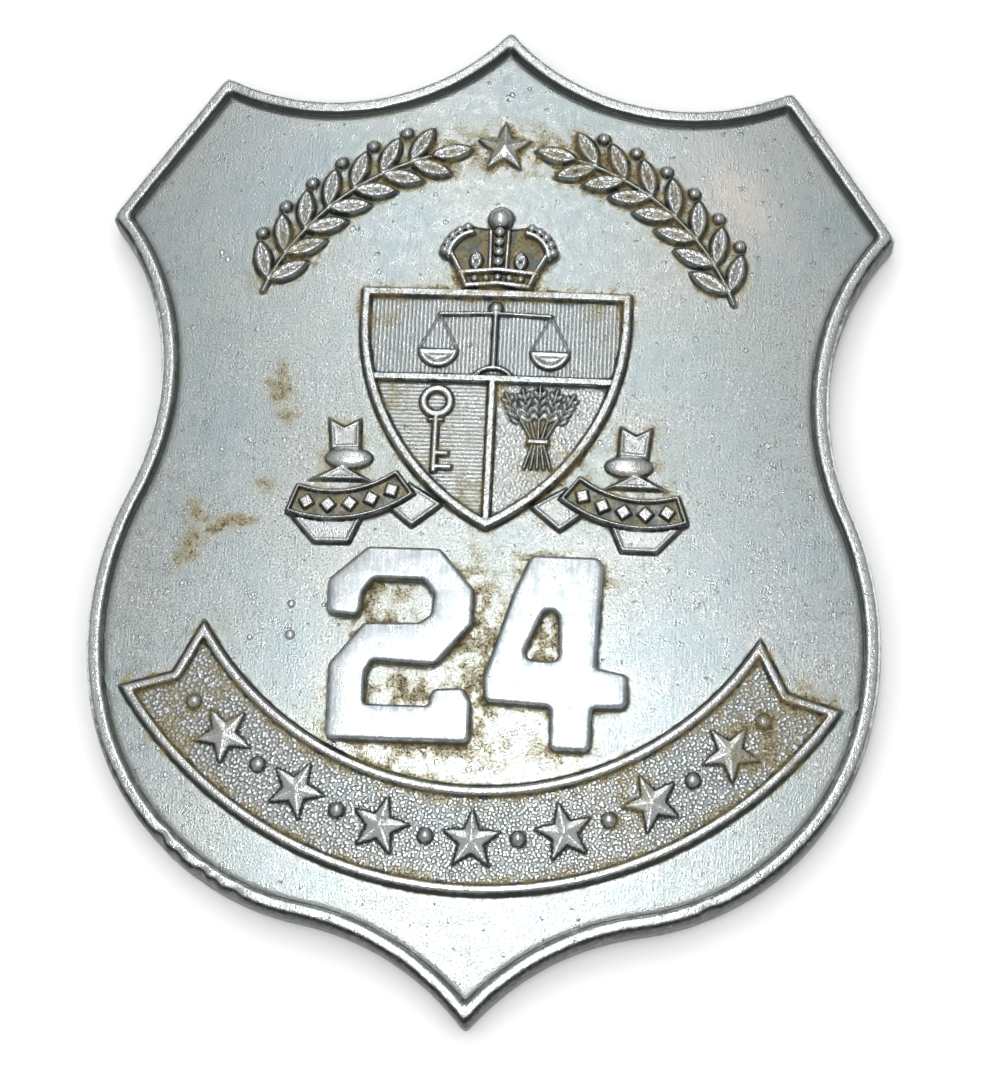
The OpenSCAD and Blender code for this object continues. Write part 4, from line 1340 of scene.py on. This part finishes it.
class BADGE_OT_arms(bpy.types.Operator):
    """Build the small shield of arms and its charges"""

    bl_idname = "badge.arms"
    bl_label = "Arms"

    def execute(self, context):
        relief = settings("badge_relief")
        half = relief.arms_w / 2 + 0.6
        x, y = relief_grid("arms", -half, half, -relief.arms_drop - 0.6, relief.arms_top + 0.6)
        cast_relief("arms", x, y, *arms_heights(x, y, relief))
        return {"FINISHED"}


class BADGE_OT_crown(bpy.types.Operator):
    """Build the crown over the arms"""

    bl_idname = "badge.crown"
    bl_label = "Crown"

    def execute(self, context):
        relief = settings("badge_relief")
        half = relief.crown_w / 2 + 0.6
        x, y = relief_grid("crown", -half, half, -0.5, relief.crown_h + 0.6)
        cast_relief("crown", x, y + (relief.arms_top - 0.1), *crown_heights(x, y, relief))
        return {"FINISHED"}


class BADGE_OT_ribbons(bpy.types.Operator):
    """Build the ribbons on both sides of the arms"""

    bl_idname = "badge.ribbons"
    bl_label = "Ribbons"

    def execute(self, context):
        x, y = relief_grid("ribbon_right", *RIBBON_BOX)
        hidden = to_polygon(x, y, arms_points(settings("badge_relief"))) < 0
        raw, ground = ribbon_heights(x, y)
        for name, side in (("ribbon_right", 1), ("ribbon_left", -1)):
            cast_relief(name, side * x, y, np.where(hidden, FAR, raw), ground)
        return {"FINISHED"}


class BADGE_OT_scroll(bpy.types.Operator):
    """Build the scroll with its stars"""

    bl_idname = "badge.scroll"
    bl_label = "Scroll"

    def execute(self, context):
        relief = settings("badge_relief")
        r0, r1 = relief.scroll_r0 - 1, relief.scroll_r1 + 1
        x, y = ring_grid("scroll", relief.scroll_y, r0, r1, -90 - SCROLL_REACH, -90 + SCROLL_REACH)
        cast_relief("scroll", x, y, *scroll_heights(x, y, relief))
        return {"FINISHED"}


class BADGE_OT_numerals(bpy.types.Operator):
    """Build the two numerals with their posts, and the face round them"""

    bl_idname = "badge.numerals"
    bl_label = "Numerals"

    def execute(self, context):
        finish = settings("badge_finish")
        sizes = settings("badge_numerals")
        material = metal("numeral_silver", finish.numeral_colour, finish, 0.5)
        for name, solid, outlines, place, posts in NUMERALS:
            piece = numeral_object(name, outlines, np.array(place), posts, sizes)
            finished(piece, material, NUMERAL_SLOT, solid)
        self.ground(sizes)
        return {"FINISHED"}

    def ground(self, sizes):
        """The face round the numerals, on a grid fine enough for the dark line of painted shade and grime
        at their feet.
        """
        left, right, low, high = -12.4, 12.6, -18.2, -1.4
        x, y = relief_grid("face_by_numerals", left, right, low, high)
        scale = sizes.numeral_h / FULL_HEIGHT
        gone = np.minimum.reduce([
            to_pierced(x, y, rounded(np.array(outline) * scale + place, sizes.corner_r, spacing=0.5),
                       *(np.array(hole) * scale + place for hole in holes))
            for _, _, (outline, *holes), place, _ in NUMERALS])
        edge = np.minimum.reduce([x - left, right - x, y - low, high - y])
        raw = np.where(gone < -0.5, FAR, np.minimum(0, OUTSIDE * (edge - APRON - HEM)))
        # A dark line of painted shade and grime along the numerals' feet, and a pale halo round them
        marks = {"hollow": np.exp(-((gone / 0.2) ** 2)), "halo": np.exp(-np.abs(gone) / 0.7)}
        cast_relief("face_by_numerals", x, y, raw, marks)


class BADGE_OT_pin(bpy.types.Operator):
    """Finish the pin on the plate's back"""

    bl_idname = "badge.pin"
    bl_label = "Pin finish"

    def execute(self, context):
        finish = settings("badge_finish")
        material = metal("pin_steel", finish.pin_colour, finish, 0.6)
        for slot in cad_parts["pin_back"].material_slots:
            slot.material = material
        return {"FINISHED"}


# Each light's place and size, and whether the metal mirrors it
LIGHTS = {
    "key_light": ((-0.015, -0.05, 0.5), (0.08, 0.2), True),
    "strip_light": ((-0.03, 0.3, 0.5), (0.13, 0.34), True),
    "low_light": ((-0.06, -0.06, 0.5), (0.24, 0.12), True),
    "floor_light": ((0, 0, 0.9), (1.2, 1.2), False),
}


class BADGE_OT_stage(bpy.types.Operator):
    """Build the floor, the lights and the camera"""

    bl_idname = "badge.stage"
    bl_label = "Stage"

    def execute(self, context):
        scene = context.scene
        stage = settings("badge_stage")
        self.floor(stage)
        self.surroundings(scene, stage)
        for name, (place, size, mirrored) in LIGHTS.items():
            self.light(name, place, size, getattr(stage, name)).visible_glossy = mirrored
        scene.camera = self.camera(stage)
        scene.view_settings.view_transform = "Standard"
        return {"FINISHED"}

    def floor(self, stage):
        """A wide plain floor."""
        half = 1500.0
        points = np.array([[-half, -half, 0], [half, -half, 0], [half, half, 0], [-half, half, 0]])
        piece = put_mesh("floor", points, [[0, 1, 2, 3]])
        material = bpy.data.materials.new("floor_paper")
        material.use_nodes = True
        shader = material.node_tree.nodes["Principled BSDF"]
        shader.inputs["Base Color"].default_value = (*stage.floor_colour, 1)
        shader.inputs["Roughness"].default_value = 0.9
        piece.data.materials.append(material)

    def surroundings(self, scene, stage):
        """A plain studio: bright overhead and dark towards the horizon."""
        scene.world = bpy.data.worlds.new("studio")
        scene.world.use_nodes = True
        tree = scene.world.node_tree
        up = part_of(node(tree, "ShaderNodeTexCoord", output="Generated"), 2)
        bright = ramp(up, 0.15, 0.75, stage.horizon_light, stage.sky_light)
        tree.links.new(bright.socket, tree.nodes["Background"].inputs["Color"])

    def light(self, name, place, size, power):
        """A soft light, so wide and so long, that looks down at the badge."""
        data = bpy.data.lights.new(name, "AREA")
        data.shape = "RECTANGLE"
        data.size, data.size_y = size
        data.energy = power
        made = bpy.data.objects.new(name, data)
        made.location = place
        made.rotation_euler = (-Vector(place)).to_track_quat("-Z", "Y").to_euler()
        bpy.context.scene.collection.objects.link(made)
        return made

    def camera(self, stage):
        """The camera at the photograph's angle, aimed at a point of the face."""
        data = bpy.data.cameras.new("camera")
        data.lens = data.sensor_width * stage.focal_px / IMAGE_H
        data.clip_start = 0.01
        made = bpy.data.objects.new("camera", data)
        dome = Dome()
        made.matrix_world = (
            Matrix.Translation(Vector((stage.aim_x, stage.aim_y, dome.z + dome.r)) * MM)
            @ Matrix.Rotation(math.radians(stage.camera_azimuth), 4, "Z")
            @ Matrix.Rotation(math.radians(90 - stage.camera_elevation), 4, "X")
            @ Matrix.Rotation(math.radians(stage.camera_roll), 4, "Z")
            @ Matrix.Translation((0, 0, stage.camera_distance * MM)))
        bpy.context.scene.collection.objects.link(made)
        return made


STEPS = (BADGE_OT_stage, BADGE_OT_plate, BADGE_OT_laurel, BADGE_OT_arms, BADGE_OT_crown, BADGE_OT_ribbons,
         BADGE_OT_scroll, BADGE_OT_pips, BADGE_OT_numerals, BADGE_OT_studs, BADGE_OT_pin)


class BADGE_PT_sidebar(bpy.types.Panel):
    """The badge's building steps and settings"""

    bl_idname = "BADGE_PT_sidebar"
    bl_label = "Shield badge"
    bl_space_type = "VIEW_3D"
    bl_region_type = "UI"
    bl_category = "Badge"

    def draw(self, context):
        for step in STEPS:
            self.layout.operator(step.bl_idname)
        for name, group in GROUPS.items():
            box = self.layout.box()
            box.label(text=group.__doc__)
            for key in group.__annotations__:
                box.prop(getattr(context.scene, name), key)


CLASSES = (*GROUPS.values(), *STEPS, BADGE_PT_sidebar)


def register():
    """Registers the classes and hangs the settings on the scene."""
    for cls in CLASSES:
        bpy.utils.register_class(cls)
    for name, group in GROUPS.items():
        setattr(bpy.types.Scene, name, PointerProperty(type=group))


def unregister():
    """Takes back what register did."""
    for name in GROUPS:
        delattr(bpy.types.Scene, name)
    for cls in reversed(CLASSES):
        bpy.utils.unregister_class(cls)


def main():
    register()
    for step in STEPS:
        area_name, operator = step.bl_idname.split(".")
        getattr(getattr(bpy.ops, area_name), operator)()


if __name__ == "__main__":
    main()
